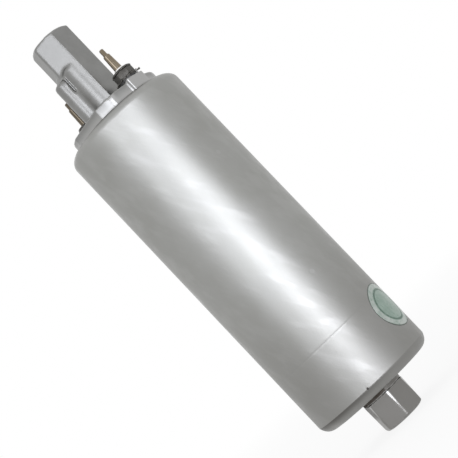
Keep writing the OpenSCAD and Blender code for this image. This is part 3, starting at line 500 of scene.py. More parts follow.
def wound_copper():
    wire = Finish("winding_copper", metallic=1.0)
    patches = wire.cloud(300)
    sockets = {"Vector": wire.place(), "Scale": 520, "Distortion": 1.6, "Detail": 1, "Detail Scale": 0.5}
    turns = wire.node("ShaderNodeTexWave", sockets, bands_direction="Z")
    shade = wire.blend((0.20, 0.055, 0.02), (0.62, 0.27, 0.11), turns * 0.8 + patches * 0.2)
    wire.feed(base_color=shade, roughness=patches * 0.2 + 0.2, normal=wire.relief(turns, 0.12, 0.9))


moulded("seal_rubber", (0.012, 0.012, 0.012), (0.03, 0.03, 0.031), 0.62)
moulded("sleeve_plastic", (0.018, 0.018, 0.018), (0.034, 0.034, 0.035), 0.42)
moulded("holder_plastic", (0.60, 0.56, 0.45), (0.68, 0.64, 0.53), 0.5)
wound_copper()
print("finishes:", ", ".join(sorted(made)))

# %% [markdown]
# ## The sticker's foil
#
# A round foil sticker sits on the casing near the inlet. It has a pale green field, a darker ring, a
# brighter band outside the ring and a dark rim. Everything is drawn by the distance from the sticker's
# middle, as a share of its radius, which is worked out in the plane that faces the sticker.

# %% Sticker foil
STICKER_TURN, STICKER_R = math.radians(18), 8.0
STICKER_HEIGHT = middle("round_sticker").z - 0.8
DARK_RING, BAND_START, RIM_START = 0.70, 0.74, 0.955
FIELD_DARK, FIELD_LIGHT, FOIL_BAND = (0.20, 0.28, 0.23), (0.27, 0.35, 0.30), (0.43, 0.46, 0.43)
RING_INK, SMUDGE, FOIL_RIM = (0.05, 0.10, 0.07), (0.12, 0.20, 0.15), (0.10, 0.12, 0.10)


def sticker_foil():
    foil = Finish("sticker_foil", coat_weight=0.3, coat_roughness=0.25)
    across, rise = foil.towards(STICKER_TURN + math.pi / 2), foil.along(2) - STICKER_HEIGHT
    share = (across ** 2 + rise ** 2) ** 0.5 / STICKER_R
    patches = foil.cloud(500, detail=4)
    worn = foil.spread(foil.cloud(1500, detail=4), 0.5, 0.62)
    band = foil.spread(share, BAND_START, BAND_START + 0.05) * foil.spread(patches, 0.35, 0.6, 0.45, 0.9)
    ink = foil.spread(abs(share - DARK_RING), 0.025, 0.055, 1, 0) * (0.9 - worn * 0.4)
    smudge = foil.spread(foil.cloud(1100), 0.57, 0.66)
    rim = foil.spread(share, RIM_START, RIM_START + 0.02)

    shade = foil.blend(FIELD_DARK, FIELD_LIGHT, foil.spread(patches, 0.3, 0.7))
    shade = foil.blend(shade, FOIL_BAND, band)
    shade = foil.blend(shade, RING_INK, ink)
    shade = foil.blend(shade, SMUDGE, smudge * 0.45)
    shade = foil.blend(shade, FOIL_RIM, rim * 0.8)
    foil.feed(
        base_color=shade,
        metallic=0.55 - ink * 0.4,
        roughness=patches * 0.2 + 0.25 + ink * 0.2 + rim * 0.4,
        normal=foil.relief(foil.cloud(700), 0.05, 0.5),
    )


sticker_foil()
print("the sticker is", 2 * STICKER_R, "mm across")

# %% [markdown]
# ## Give every CAD node its finish
#
# The record names a material slot for each node, and the finishes above carry the same names. So one
# loop can dress the whole model. A node whose CAD shape is already right keeps its mesh.

# %% Dress the CAD nodes
for row in frame["record"]["subparts"]:
    mesh = nodes[row["node"]].data
    mesh.materials.clear()
    mesh.materials.append(made[row["material_slot"]])

# %% [markdown]
# ## Outlines and rings
#
# Most pieces are turned: one outline goes once round an axis. `rounded` takes the outline's corners
# with a rounding for each, because a real edge is never perfectly sharp and its small radius is what
# catches the light. `ring` lays points round an axis, and `skin` joins rings of points with faces.

# %% Helpers for outlines and rings


def rounded(corners, steps=5):
    """Corners (radius, height, rounding) of a closed outline, as points with every corner turned."""
    points = []
    count = len(corners)
    for i, (x, y, rounding) in enumerate(corners):
        here = Vector((x, y))
        before, after = Vector(corners[i - 1][:2]), Vector(corners[(i + 1) % count][:2])
        back, on = (before - here).normalized(), (after - here).normalized()
        half = back.angle(on) / 2
        if rounding <= 0 or half > math.radians(89):
            points.append(here)
            continue
        centre = here + (back + on).normalized() * (rounding / math.sin(half))
        start = here + back * (rounding / math.tan(half)) - centre
        sweep = start.angle_signed(here + on * (rounding / math.tan(half)) - centre)
        for k in range(steps + 1):
            points.append(centre + Matrix.Rotation(-sweep * k / steps, 2) @ start)
    return points


def ring(radius, height, count, centre=(0, 0)):
    """One ring of points. Radius and height may be functions of the azimuth."""
    points = []
    for k in range(count):
        a = math.tau * k / count
        r = radius(a) if callable(radius) else radius
        z = height(a) if callable(height) else height
        points.append((centre[0] + r * math.cos(a), centre[1] + r * math.sin(a), z))
    return points


def mesh_of(name, shape):
    """The mesh of a bmesh, whose memory is then freed."""
    mesh = bpy.data.meshes.new(name)
    shape.to_mesh(mesh)
    shape.free()
    return mesh


def skin(name, rings, closed=False, capped=False):
    """A mesh from rings of equally many points, in millimetres. Capped closes the first and the last."""
    shape = bmesh.new()
    rows = [[shape.verts.new(Vector(p) * MM) for p in points] for points in rings]
    pairs = list(zip(rows, rows[1:])) + ([(rows[-1], rows[0])] if closed else [])
    for lower, upper in pairs:
        for k in range(len(lower)):
            n = (k + 1) % len(lower)
            shape.faces.new((lower[k], lower[n], upper[n], upper[k]))
    if capped:
        shape.faces.new(rows[0])
        shape.faces.new(rows[-1])
    bmesh.ops.recalc_face_normals(shape, faces=shape.faces)
    return mesh_of(name, shape)


square = [(0, 0, 1), (4, 0, 1), (4, 4, 1), (0, 4, 1)]
print("a square with rounded corners has", len(rounded(square)), "points")

# %% [markdown]
# ## From a mesh to a piece of the pump
#
# A piece has a finish, smooth shading and a body that it moves with. All the dressed pieces stay on the
# pump's own body. The last names say which CAD nodes the piece takes the place of. The modifier that
# evens out the shading keeps wide flat faces flat right up to their rounded edges.

# %% Helper for pieces


def piece(name, mesh, slot, *replaced, even=True):
    """Puts a mesh into the scene as a piece of the pump, in place of CAD nodes."""
    thing = put(name, mesh)
    mesh.materials.append(made[slot])
    for face in mesh.polygons:
        face.use_smooth = True
    if even:
        thing.modifiers.new("even_shading", "WEIGHTED_NORMAL").keep_sharp = True
    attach(thing, "pump_body")
    if replaced:
        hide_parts(*replaced)
    print(f"{name}: {len(mesh.polygons)} faces")
    return thing


# %% [markdown]
# ## The casing
#
# The casing is a tube whose two ends are rolled in over the end pieces. The upper roll runs smoothly
# out of the tube. The lower one was made against a sharp die, so it starts with a crisp line where the
# surface tips over, and is a stretch of an ellipse from there. Both lips end in a small radius.

# %% Casing
CASING_R, WALL, LIP_R = 21.5, 1.6, 17.5
BORE_R, MID_TUBE = CASING_R - WALL, 60
ROLL_FOOT_R, ROLL_TILT = LIP_R + 0.7, math.radians(20)


def crisp_roll(steps=12):
    """The lower roll's points, from its foot at the lip up to the crisp line."""
    wide = (CASING_R - ROLL_FOOT_R) / math.cos(ROLL_TILT)
    high = CRISP_LINE / (1 - math.sin(ROLL_TILT))
    points = []
    for k in range(steps + 1):
        a = math.pi / 2 - (math.pi / 2 - ROLL_TILT) * k / steps
        drop = high * (math.sin(a) - math.sin(ROLL_TILT))
        points.append(Vector((ROLL_FOOT_R + wide * math.cos(a), CRISP_HEIGHT - drop)))
    return points


def casing_outline():
    corners = [
        (CASING_R, MID_TUBE, 0),
        (CASING_R, CASING_HIGH, 3.0),
        (LIP_R, CASING_HIGH, 0.45),
        (LIP_R, CASING_HIGH - WALL, 0.1),
        (BORE_R, CASING_HIGH - WALL, 1.4),
        (BORE_R, CASING_LOW + WALL, 1.4),
        (LIP_R, CASING_LOW + WALL, 0.1),
        (LIP_R, LIP_LOW, 0.3),
    ]
    return rounded(corners, steps=8) + crisp_roll()


casing_rings = [ring(radius, height, 256) for radius, height in casing_outline()]
piece("casing_tube", skin("casing_tube", casing_rings, closed=True), "casing_metal", "casing")

# %% [markdown]
# ## Hexagons and threads
#
# A hexagon can be turned as well, if the radius depends on the azimuth. Its corners are small arcs and
# its end is cut by a cone, so the cut's edge rises and falls from corner to flat: both follow from the
# same function. A screw thread is a radius that depends on azimuth and height together.

# %% Hexagons and threads


def hexagon(flats, corner=0.25, turn=0.0):
    """The radius of a hexagon with rounded corners, as a function of the azimuth."""
    half, centre = flats / 2, (flats / 2 - corner) / math.cos(math.pi / 6)

    def radius(azimuth):
        a = abs((azimuth - math.radians(turn) + math.pi / 6) % (math.pi / 3) - math.pi / 6)
        off = math.pi / 6 - a
        flat = half / math.cos(a)
        inside = corner ** 2 - (centre * math.sin(off)) ** 2
        if inside <= 0:
            return flat
        arc = centre * math.cos(off) + math.sqrt(inside)
        on_arc = math.atan2(arc * math.sin(off), arc * math.cos(off) - centre) < math.pi / 6
        return arc if on_arc else flat

    return radius


def inset(radius, by):
    return lambda a: radius(a) - by


def bevelled_end(radius, flat_r, end, way, slope=30, edge=0.12):
    """Rows of a hexagon's end that a cone cuts, from the side onto the end face. Way is +1 or -1."""
    rate = math.tan(math.radians(slope))

    def level(by):
        return lambda a: end - way * ((radius(a) - flat_r) * rate + by)

    return [(radius, level(edge)), (inset(radius, edge * 0.5), level(-edge * rate * 0.5)),
            (flat_r + edge, end - way * edge * rate), (flat_r - edge, end)]


def thread_rows(low, high, crest, root, pitch, fade=0.7, steps=10):
    """Rows of an inner thread from one height to another. It runs in and out over fade turns."""
    rows = []
    count = round((high - low) / pitch * steps)
    for k in range(count + 1):
        z = low + (high - low) * k / count
        swell = min(1, (z - low) / (fade * pitch), (high - z) / (fade * pitch))

        def radius(a, z=z, swell=swell):
            phase = (z / pitch - a / math.tau) % 1
            ridge = min(1, max(0, 1.6 - 3.6 * abs(phase - 0.5)))
            return root + (crest - root) * (ridge * swell + 1 - swell)

        rows.append((radius, z))
    return rows


def turned_rows(name, rows, count=144, centre=(0, 0)):
    return skin(name, [ring(r, z, count, centre) for r, z in rows], closed=True)


print(f"a 14 mm hexagon reaches {hexagon(14)(math.pi / 6):.2f} mm at its corners")

# %% [markdown]
# ## The inlet fitting
#
# This piece is one turning: a hexagon for the spanner, a collar that the casing's lip looks down on, a
# disc that the casing grips, a groove for the seal and a chamber for the strainer. Its port has an
# M10 thread. The rows run along the outside and come back through the bore. The hexagon is a little
# narrower at its end, because the casting has to come out of its mould.

# %% Inlet fitting
HEX_FOOT, HEX_END, HEX_FACE_R, HEX_TURN = 13.9, 13.5, 6.1, -8
COLLAR_R, RIM_R, PACK_R = 7.3, 16.8, 19.7
RIM_LOW, DISC_LOW, DISC_HIGH = CASING_LOW + 0.5, CASING_LOW + WALL, reach("inlet_fitting")[1].z
GROOVE_R, GROOVE_LOW, GROOVE_HIGH = 18.1, DISC_HIGH - 3.6, DISC_HIGH - 1.3
CHAMBER_R, CHAMBER_FLOOR = 13.4, DISC_HIGH - 4.2
SEAT_R, SEAT_FLOOR, PASSAGE_R = 11.5, DISC_HIGH - 5.7, 3.4
PORT_R, PORT_ROOT_R, PORT_PITCH, MOUTH_R = 4.46, 4.98, 1.0, 4.91


def inlet_rows():
    foot, end = (hexagon(flats, corner=1.0, turn=HEX_TURN) for flats in (HEX_FOOT, HEX_END))
    rows = bevelled_end(end, HEX_FACE_R, 0, -1, slope=26, edge=0.3)[::-1]
    rows += [(inset(foot, by), COLLAR_LOW - up) for by, up in ((0, 0.25), (0.07, 0.07), (0.25, 0))]
    corners = [
        (COLLAR_R, COLLAR_LOW, 0.2), (COLLAR_R, RIM_LOW, 0.5),
        (RIM_R, RIM_LOW, 0.3), (RIM_R, DISC_LOW, 0.1),
        (PACK_R - 1.4, DISC_LOW, 0.1), (PACK_R, DISC_LOW + 1.4, 0.3),
        (PACK_R, GROOVE_LOW, 0.1), (GROOVE_R, GROOVE_LOW, 0.1),
        (GROOVE_R, GROOVE_HIGH, 0.1), (PACK_R, GROOVE_HIGH, 0.1),
        (PACK_R, DISC_HIGH, 0.2), (CHAMBER_R, DISC_HIGH, 0.1),
        (CHAMBER_R, CHAMBER_FLOOR, 0.1), (SEAT_R, CHAMBER_FLOOR, 0.1),
        (SEAT_R, SEAT_FLOOR, 0.2), (PASSAGE_R, SEAT_FLOOR, 0.2),
        (PASSAGE_R, COLLAR_LOW + 0.9, 0.1), (PORT_ROOT_R, COLLAR_LOW, 0.1),
        (5.6, COLLAR_LOW - 0.5, 0),
    ]
    rows += [tuple(p) for p in rounded(corners, steps=3)][:-1]
    rows += thread_rows(0.5, COLLAR_LOW - 0.2, PORT_R, PORT_ROOT_R, PORT_PITCH)[::-1]
    return rows + [(MOUTH_R, 0.12), (MOUTH_R + 0.12, 0)]


piece("inlet_turning", turned_rows("inlet_turning", inlet_rows(), 240), "cast_metal", "inlet_fitting")

# %% [markdown]
# ## Tools for a casting
#
# A casting has no sharp inner corner, because the metal couldn't flow round one. A quick way to that
# look: copy the CAD mesh, rebuild it from small even voxels, and let a few rounds of smoothing draw
# the edges in by a fraction of a millimetre. Where a fillet is wider, more rounds go over those points
# only.

# %% Helpers for worked meshes


def worked_mesh(mesh, *recipe):
    """The mesh after a list of modifiers, each given as its kind and its settings."""
    thing = put("work", mesh)
    for kind, settings in recipe:
        step = thing.modifiers.new(kind, kind)
        for name, value in settings.items():
            setattr(step, name, value)
    graph = bpy.context.evaluated_depsgraph_get()
    result = bpy.data.meshes.new_from_object(thing.evaluated_get(graph))
    bpy.data.objects.remove(thing)
    return result


def softened(mesh, chosen, rounds):
    """Smooths only the points that chosen picks, given in millimetres."""
    shape = bmesh.new()
    shape.from_mesh(mesh)
    picked = [v for v in shape.verts if chosen(v.co / MM)]
    axes = {f"use_axis_{axis}": True for axis in "xyz"}
    for _ in range(rounds):
        bmesh.ops.smooth_vert(shape, verts=picked, factor=0.5, **axes)
    shape.to_mesh(mesh)
    shape.free()
    return mesh


def merged(*meshes):
    """One mesh from several, with points that share a place joined."""
    shape = bmesh.new()
    for mesh in meshes:
        shape.from_mesh(mesh)
    bmesh.ops.remove_doubles(shape, verts=shape.verts, dist=0.001 * MM)
    return mesh_of("merged", shape)


print("the cap's CAD mesh has", len(nodes["outlet_cap"].data.polygons), "faces")

# %% [markdown]
# ## The web beside the column
#
# The cap's side column runs into two faces of the hexagon tower with a wide fillet, and two narrow
# slots stay open beside it. The web is one outline that is pulled up to the tower's shoulder, and it
# leans down with the column's outer side. `blended_outline` finds the fillet's centre from the two
# radii that it touches, then mirrors that half.

# %% Outlines on the cap
Z_DECK, Z_SHOULDER, TOWER_FACE = 131.0, 148.6, 6.75
COLUMN, COLUMN_R, FILLET_R = Vector((0, -8.7)), 3.2, 5.0
SLOT_INNER, SLOT_OUTER, SLOT_HALF, SLOT_UP = (2.3, -8.9), (6.5, -13.0), (0.25, 0.25), 9.5


def blended_outline(steps=10):
    """Outline of the column's foot with a wide fillet onto the two tower faces beside it."""
    face, along = Vector((0.5, -math.sqrt(0.75))), Vector((math.sqrt(0.75), 0.5))
    out, foot = COLUMN.dot(face) - TOWER_FACE, COLUMN.dot(along)
    wide = math.sqrt((COLUMN_R + FILLET_R) ** 2 - (FILLET_R - out) ** 2)
    centre = face * (TOWER_FACE + FILLET_R) + along * (foot + wide)
    turn = (-face).angle_signed(COLUMN - centre)
    half = [centre + Matrix.Rotation(-turn * k / steps, 2) @ (-face) * FILLET_R for k in range(steps + 1)]
    start = (half[-1] - COLUMN).normalized()
    sweep = start.angle_signed(Vector((0, -1)))
    half += [COLUMN + Matrix.Rotation(-sweep * k / steps, 2) @ start * COLUMN_R for k in range(1, steps)]
    mirrored = [Vector((-p.x, p.y)) for p in reversed(half)]
    return [Vector((0, -1))] + half + [COLUMN - Vector((0, COLUMN_R))] + mirrored


def block(name, outline, low, high, centre):
    """A solid between two heights. High may depend on the point."""
    rings = []
    for share, level in ((0.01, low), (1, low), (1, high), (0.01, high)):
        points = [centre + (p - centre) * share for p in outline]
        rings.append([(p.x, p.y, level(q) if callable(level) else level) for p, q in zip(points, outline)])
    return skin(name, rings)


def shoulder(point):
    """How high the web reaches. It leans down outside the tower's face."""
    return Z_SHOULDER - max(0, -point.y - TOWER_FACE)


def slot_block(side):
    """A narrow slot that stays open between the column and the tower's web."""
    inner, outer, half = (Vector((side * x, y)) for x, y in (SLOT_INNER, SLOT_OUTER, SLOT_HALF))
    outline = [inner - half, outer - half, outer + half, inner + half]
    return block("slot", outline, Z_DECK + SLOT_UP, Z_SHOULDER + 1, sum(outline, Vector((0, 0))) / 4)


print("the web's outline has", len(blended_outline()), "points")

# %% [markdown]
# ## The cast outlet cap
#
# The CAD cap is joined with the web and cut by the two slots. The port's bore is opened a little too,
# so that a separate thread, which voxels of this size couldn't hold, fits into it. Then the voxels and
# the smoothing make it a casting.

# %% Outlet cap
CAP_TOP, THREAD_LEN, VOXEL, SOFT_R = reach("outlet_cap")[1].z, 11.0, 0.26, 5.6
hole_r, hole_low, hole_high = PORT_ROOT_R + 0.1, CAP_TOP - THREAD_LEN + 0.2, CAP_TOP + 1
hole_rows = [(hole_r, hole_low), (hole_r, hole_high), (0.01, hole_high), (0.01, hole_low)]
tools = {
    "hole": ("DIFFERENCE", turned_rows("hole", hole_rows, 64)),
    "web": ("UNION", block("web", blended_outline(), Z_DECK - 1, shoulder, Vector((0, -6.5)))),
    "right_slot": ("DIFFERENCE", slot_block(1)),
    "left_slot": ("DIFFERENCE", slot_block(-1)),
}
cuts = [
    ("BOOLEAN", {"object": put(name, mesh), "operation": operation, "solver": "EXACT"})
    for name, (operation, mesh) in tools.items()
]
cap_mesh = worked_mesh(
    merged(nodes["outlet_cap"].data),
    *cuts,
    ("REMESH", {"mode": "VOXEL", "voxel_size": VOXEL * MM}),
    ("SMOOTH", {"factor": 0.5, "iterations": 5}),
)
for name in tools:
    bpy.data.objects.remove(bpy.data.objects[name])


def beside_column(point):
    """Whether a point of the casting belongs to the column or to its fillets."""
    return (point.xy - COLUMN).length < SOFT_R and point.z > Z_DECK + 0.3


cap_mesh = softened(cap_mesh, beside_column, 12)
piece("outlet_casting", cap_mesh, "cast_metal", "outlet_cap", even=False)

# %% [markdown]
# ## The outlet's thread
#
# The thread is a thin sleeve in the opened bore: its inner side is the screw, its outer side is hidden
# in the casting, and its mouth is bevelled like the inlet's.

# %% Outlet thread
THREAD_LOW, SLEEVE_R = CAP_TOP - THREAD_LEN + 0.3, PORT_ROOT_R + 0.35
thread = [(SLEEVE_R, THREAD_LOW)] + thread_rows(THREAD_LOW, CAP_TOP - 0.45, PORT_R, PORT_ROOT_R, PORT_PITCH)
thread += [(MOUTH_R, CAP_TOP - 0.02), (MOUTH_R + 0.12, CAP_TOP), (SLEEVE_R, CAP_TOP)]
piece("outlet_thread", turned_rows("outlet_thread", thread, 96), "cast_metal")

# %% [markdown]
# ## Studs and nuts
#
# Each terminal is a brass stud in a plastic sleeve, with an insulating washer, a toothed lock washer
# and a nut. The stud is smooth and a little tapered, and its upper end is turned down to a pin. The
# outline of that free end is a row of radii at depths below the tip.

# %% Studs and nuts
TERMINAL_X, STUD_R, TIP_R, SHANK_R, HEAD_R = middle("stud_right").x, 1.45, 0.78, 1.25, 2.2
Z_LOCK = reach("insulating_washers")[1].z
Z_NUT, Z_DISH = (corner.z for corner in reach("terminal_nuts"))
Z_FREE = reach("dished_washer")[1].z
Z_HEAD = reach("stud_right")[0].z
Z_STRAP = Z_HEAD + 1.6
NUT_FLATS, NUT_FACE_R = 6.2, 3.05


def stud(name, side, free, node):
    """A stud that is hidden up to the height free and tapers from there to its pin."""
    tip = reach(node)[1].z
    rows = [(0.01, Z_HEAD), (HEAD_R - 0.2, Z_HEAD), (HEAD_R, Z_HEAD + 0.2), (HEAD_R, Z_STRAP - 0.1),
            (HEAD_R - 0.1, Z_STRAP), (SHANK_R, Z_STRAP), (SHANK_R, free), (STUD_R - 0.04, free)]
    depths = [(STUD_R - 0.26, 2.75), (STUD_R - 0.31, 2.6), (STUD_R - 0.44, 2.48), (TIP_R + 0.1, 2.32),
              (TIP_R, 2.16), (TIP_R - 0.02, 0.32), (TIP_R - 0.14, 0.1), (TIP_R - 0.32, 0), (0.01, 0)]
    rows += [(radius, tip - depth) for radius, depth in depths]
    piece(name, turned_rows(name, rows, 72, (side * TERMINAL_X, 0)), "stud_brass", node)


def nut(side, turn):
    """A hexagon nut with both ends bevelled and a plain bore that clears the stud."""
    outside = hexagon(NUT_FLATS, corner=0.2, turn=turn)
    rows = bevelled_end(outside, NUT_FACE_R, Z_NUT, -1, edge=0.08)[::-1]
    rows += bevelled_end(outside, NUT_FACE_R, Z_DISH, 1, edge=0.08)
    rows += [(STUD_R + 0.25, Z_DISH), (STUD_R + 0.06, Z_DISH - 0.15), (STUD_R + 0.06, Z_NUT + 0.15),
             (STUD_R + 0.25, Z_NUT)]
    return turned_rows("nut", rows, 144, (side * TERMINAL_X, 0))


stud("right_stud", 1, Z_FREE, "stud_right")
stud("left_stud", -1, Z_DISH, "stud_left")
piece("hexagon_nuts", merged(nut(1, 12), nut(-1, -4)), "dark_steel", "terminal_nuts")

# %% [markdown]
# ## Toothed washers
#
# A toothed lock washer bites with teeth that are twisted out of its plane. Each tooth here is a row of
# small rectangles that turn a little more at every step outwards. On each washer one tooth is bent up
# further than the others, as happens when a nut is tightened over it.

# %% Toothed washers
TEETH, TOOTH_ROOT, TOOTH_THICK, RING_THICK, RING_BORE = 12, 3.5, 0.3, 0.6, 1.52


def tooth_rows(side, number, tip, bent, steps=4):
    """Rows of four points from a tooth's root out to its tip."""
    a = math.tau * (number + 0.5) / TEETH
    out, along, up = polar(1, a, 0), polar(1, a + math.pi / 2, 0), Vector((0, 0, 1))
    length, full_twist = tip - TOOTH_ROOT + (0.9 if bent else 0.3), math.radians(58 if bent else 28)
    rows = []
    for step in range(steps + 1):
        t = step / steps
        twist = full_twist * t
        wide = (0.92 - 0.22 * t) * (TOOTH_ROOT * math.pi / TEETH)
        flat = along * math.cos(twist) + up * math.sin(twist)
        thick = up * math.cos(twist) - along * math.sin(twist)
        spine = out * (TOOTH_ROOT - 0.3 + length * t) + Vector((side * TERMINAL_X, 0, Z_LOCK + 0.3))
        corners = ((-1, -1), (1, -1), (1, 1), (-1, 1))
        rows.append([spine + flat * (u * wide / 2) + thick * (v * TOOTH_THICK / 2) for u, v in corners])
    return rows


def lock_washer(side, bent, tip):
    """A ring with twisted teeth out to tip. The tooth numbered bent stands up further."""
    shape = bmesh.new()
    for number in range(TEETH):
        points = tooth_rows(side, number, tip, number == bent)
        rows = [[shape.verts.new(p * MM) for p in row] for row in points]
        for lower, upper in zip(rows, rows[1:]):
            for i in range(4):
                shape.faces.new((lower[i], lower[(i + 1) % 4], upper[(i + 1) % 4], upper[i]))
        shape.faces.new(rows[-1])
    bmesh.ops.recalc_face_normals(shape, faces=shape.faces)
    low, high, bevel = Z_LOCK, Z_LOCK + RING_THICK, 0.08
    body = [
        (TOOTH_ROOT, low + bevel), (TOOTH_ROOT, high - bevel), (TOOTH_ROOT - bevel, high),
        (RING_BORE + bevel, high), (RING_BORE, high - bevel), (RING_BORE, low + bevel),
        (RING_BORE + bevel, low), (TOOTH_ROOT - bevel, low),
    ]
    return merged(turned_rows("washer", body, 96, (side * TERMINAL_X, 0)), mesh_of("teeth", shape))


washers = merged(lock_washer(1, 1, 4.4), lock_washer(-1, 3, 3.9))
piece("toothed_washers", washers, "dark_steel", "lock_washers")

# %% [markdown]
# ## The domed washer
#
# The right terminal has a domed washer on its nut. Its rim is cut into five petals, and the cuts lift
# the rim a little. A cut is a notch in the radius that depends on the azimuth, like a hexagon's flat.

# %% Domed washer
PETALS, DOME_R, NOTCH, NOTCH_WIDE, RIM_LIFT = 5, 3.7, 0.75, 0.26, 0.12


def domed(name):
    def from_cut(a):
        """0 at a cut and 1 halfway to the next."""
        return abs((a / math.tau * PETALS + 0.25) % 1 - 0.5) * 2

    def cut(full):
        return lambda a: full - NOTCH * max(0, 1 - from_cut(a) / NOTCH_WIDE) ** 0.5

    def lifted(base):
        return lambda a: base + RIM_LIFT * max(0, 1 - from_cut(a) / 0.4)

    z, top = Z_DISH, Z_FREE
    rim = [(cut(DOME_R - 0.45), lifted(z)), (cut(DOME_R - 0.06), lifted(z)),
           (cut(DOME_R), lifted(z + 0.08)), (cut(DOME_R - 0.08), lifted(z + 0.34))]
    dome = [(3.1, z + 0.68), (2.5, z + 0.82), (2.05, z + 0.86), (1.78, z + 0.92), (1.72, z + 1.02)]
    neck = [(1.70, top - 0.08), (1.62, top), (1.5, top), (1.48, top - 0.1)]
    hollow = [(1.48, z + 0.5), (1.9, z + 0.42), (2.5, z + 0.36)]
    return turned_rows(name, rim + dome + neck + hollow, 160, (TERMINAL_X, 0))


piece("domed_washer", domed("domed_washer"), "dark_steel", "dished_washer")

# %% [markdown] ## Coil springs Four coil springs stand between a moving piece and a fixed
# one. Their end turns lie almost flat and the turns between them climb.

# %% Springs
SPRING_WIRES = {
    "relief_spring": 0.4,
    "valve_spring": 0.55,
    "brush_spring_right": 0.45,
    "brush_spring_left": 0.45,
}
SPRING_TURNS = 6


def coil_rings(node, wire, turns, steps=24, sides=8):
    """Rings of a round wire that winds up inside a node's box."""
    low, high = reach(node)
    centre, coil_r, climb = (low + high) / 2, (high.x - low.x - wire) / 2, high.z - low.z - 3 * wire
    rings = []
    for i in range(turns * steps + 1):
        turn = i / steps
        in_ends = min(turn, 1) + max(0, turn - turns + 1)
        in_climb = min(1, max(0, (turn - 1) / (turns - 2)))
        z = low.z + wire / 2 + in_ends * wire + climb * in_climb
        points = []
        for k in range(sides):
            b = math.tau * k / sides
            around = polar(coil_r + wire / 2 * math.cos(b), math.tau * turn, wire / 2 * math.sin(b))
            points.append(Vector((centre.x, centre.y, z)) + around)
        rings.append(points)
    return rings


for joint in frame["joints"]:
    for entry in joint.get("deforming_nodes", []):
        node, fixed = entry["node"], entry["fixed_end_z_m"]
        coil = skin(node, coil_rings(node, SPRING_WIRES[node], SPRING_TURNS), capped=True)
        spring = piece(f"{node}_coil", coil, "spring_steel", node, even=False)
        length = max(abs(end.z * MM - fixed) for end in reach(node))
        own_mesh(spring)

# %% [markdown]
# ## The sticker
#
# Foil that lies on a tube is a disc bent to the tube's radius. The mesh is a polar grid: each point is
# laid off round the casing by its distance across, and up by its distance along. Its back is closed, so
# it is a thin solid like the CAD node.

# %% Sticker
FOIL_FACE, FOIL_BACK = 0.09, 0.01


def sticker_point(out, azimuth, lift):
    """A point of the sticker, from its distance to the sticker's middle and its azimuth round it."""
    across, up = out * math.cos(azimuth), out * math.sin(azimuth)
    return polar(CASING_R + lift, STICKER_TURN + across / (CASING_R + 0.05), STICKER_HEIGHT + up) * MM


def sticker_mesh(spokes=96, levels=14):
    shape = bmesh.new()
    edges = []
    for lift in (FOIL_FACE, FOIL_BACK):
        rows = [[shape.verts.new(sticker_point(0, 0, lift))]]
        for k in range(1, levels + 1):
            out = STICKER_R * (k / levels) ** 0.8
            spin = [math.tau * i / spokes for i in range(spokes)]
            rows.append([shape.verts.new(sticker_point(out, a, lift)) for a in spin])
        for i in range(spokes):
            n = (i + 1) % spokes
            shape.faces.new((rows[0][0], rows[1][i], rows[1][n]))
            for lower, upper in zip(rows[1:], rows[2:]):
                shape.faces.new((lower[i], upper[i], upper[n], lower[n]))
        edges.append(rows[-1])
    for i in range(spokes):
        n = (i + 1) % spokes
        shape.faces.new((edges[0][i], edges[1][i], edges[1][n], edges[0][n]))
    bmesh.ops.recalc_face_normals(shape, faces=shape.faces)
    return mesh_of("foil_disc", shape)


piece("foil_disc", sticker_mesh(), "sticker_foil", "round_sticker", even=False)

# %% [markdown]
# ## Camera
#
# The camera was worked out from the tube's outline in the photograph: a lens of nearly 110 mm about
# 43 cm away, rolled so that the pump runs across the picture from corner to corner. It looks at the
# pump from slightly below its middle, so the cap end is seen from underneath. Two directions fix its
# turn: where it looks, and what is to its right.

# %% Camera
LENS, SENSOR = 109.6, 36
EYE = Vector((0.29418, -0.31154, 0.03925))
LOOKING, RIGHTWARD = Vector((-0.68297, 0.72475, 0.09105)), Vector((0.48423, 0.54255, -0.68640))

camera = put("camera", bpy.data.cameras.new("camera"))
camera.data.lens, camera.data.sensor_width = LENS, SENSOR
camera.data.clip_start, camera.data.clip_end = 0.01, 20
ahead = LOOKING.normalized()
right = (RIGHTWARD - ahead * RIGHTWARD.dot(ahead)).normalized()
facing = Matrix((right, right.cross(ahead), -ahead)).transposed()
camera.matrix_world = Matrix.Translation(EYE) @ facing.to_4x4()
bpy.context.scene.camera = camera
print("camera is", round(EYE.length / MM), "mm from the inlet port")

# %% [markdown]
# ## Floor and world
#
# The photograph is a product shot on plain white. That white is the colour of the floor and the world
# as the camera, metal and glass see them, while the light that they throw on the pump is lower. Near
# the pump a seventh of the floor's white is paint, which keeps the pump's soft shadow. Further out all
# of it is plain white.

# %% Floor and world
WORLD_LEVEL, FLOOR_LEVEL, FLOOR_SEEN = 0.65, 0.47, 0.90
FLOOR_HALF, SHADOW_END, HORIZON = 6, 150, 1200

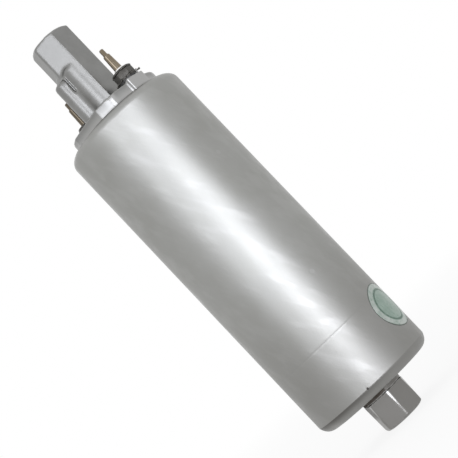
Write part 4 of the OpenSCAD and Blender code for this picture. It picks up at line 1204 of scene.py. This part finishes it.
floor_shape = bmesh.new()
bmesh.ops.create_grid(floor_shape, x_segments=1, y_segments=1, size=FLOOR_HALF)
floor = put("floor", mesh_of("floor", floor_shape))
pale = Finish("floor_paint", roughness=0.9)
seen = pale.plainly_seen()
level = pale.cloud(3) * 0.05 + FLOOR_LEVEL + seen * (FLOOR_SEEN - FLOOR_LEVEL)
pale.feed(base_color=pale.blend((0, 0, 0), (1, 1, 1), level))
glow = pale.node("ShaderNodeEmission", {"Color": (1, 1, 1)})
far = pale.spread(pale.radius(), SHADOW_END, HORIZON, 0.86, 1)
pale.show(pale.node("ShaderNodeMixShader", {0: seen * far, 1: pale.surface, 2: glow}))
floor.data.materials.append(pale.owner)

sky = Finish("studio_sky", kind="worlds")
sky.feed(color=sky.plainly_seen() * (1 - WORLD_LEVEL) + WORLD_LEVEL)
bpy.context.scene.world = sky.owner
print("the floor is", 2 * FLOOR_HALF, "m wide")

# %% [markdown]
# ## Lamps
#
# Six soft square lamps look at the middle of the pump. The key lamps near the camera make the long
# highlight: one for the tube, a small low one that carries it down to the inlet, and one for its edge.
# Two stand at the side, for the tube's and the tower's lit flank, and a wide one behind separates the
# dark edge from the background.

# %% Lamps
LAMP_COLOUR, LAMP_TARGET = (0.905, 0.925, 1), Vector((0, 0, 0.08))
# Azimuth and elevation in degrees, distance and size in metres, and power in watts
LAMPS = {
    "key": (-40, 1.2, 1.0, 0.34, 1.45),
    "key_low": (-41, -4.5, 0.55, 0.15, 0.9),
    "key_edge": (-23, 5, 1.0, 0.34, 2.1),
    "side": (-70, 5, 1.0, 0.34, 1.3),
    "tower_side": (-75, 22, 1.0, 0.3, 0.75),
    "back": (135, 12, 1.4, 0.9, 2.0),
}
for name, (azimuth, elevation, distance, size, power) in LAMPS.items():
    data = bpy.data.lights.new(name, "AREA")
    data.shape, data.size, data.energy, data.color = "SQUARE", size, power, LAMP_COLOUR
    rise = math.radians(elevation)
    way = polar(math.cos(rise), math.radians(azimuth), math.sin(rise))
    lamp = put(name, data)
    lamp.location = LAMP_TARGET + way * distance
    lamp.rotation_mode = "QUATERNION"
    lamp.rotation_quaternion = way.to_track_quat("Z", "Y")
bpy.context.scene.view_settings.view_transform = "Standard"
print(len(LAMPS), "lamps")

# %% [markdown]
# ## Finish
#
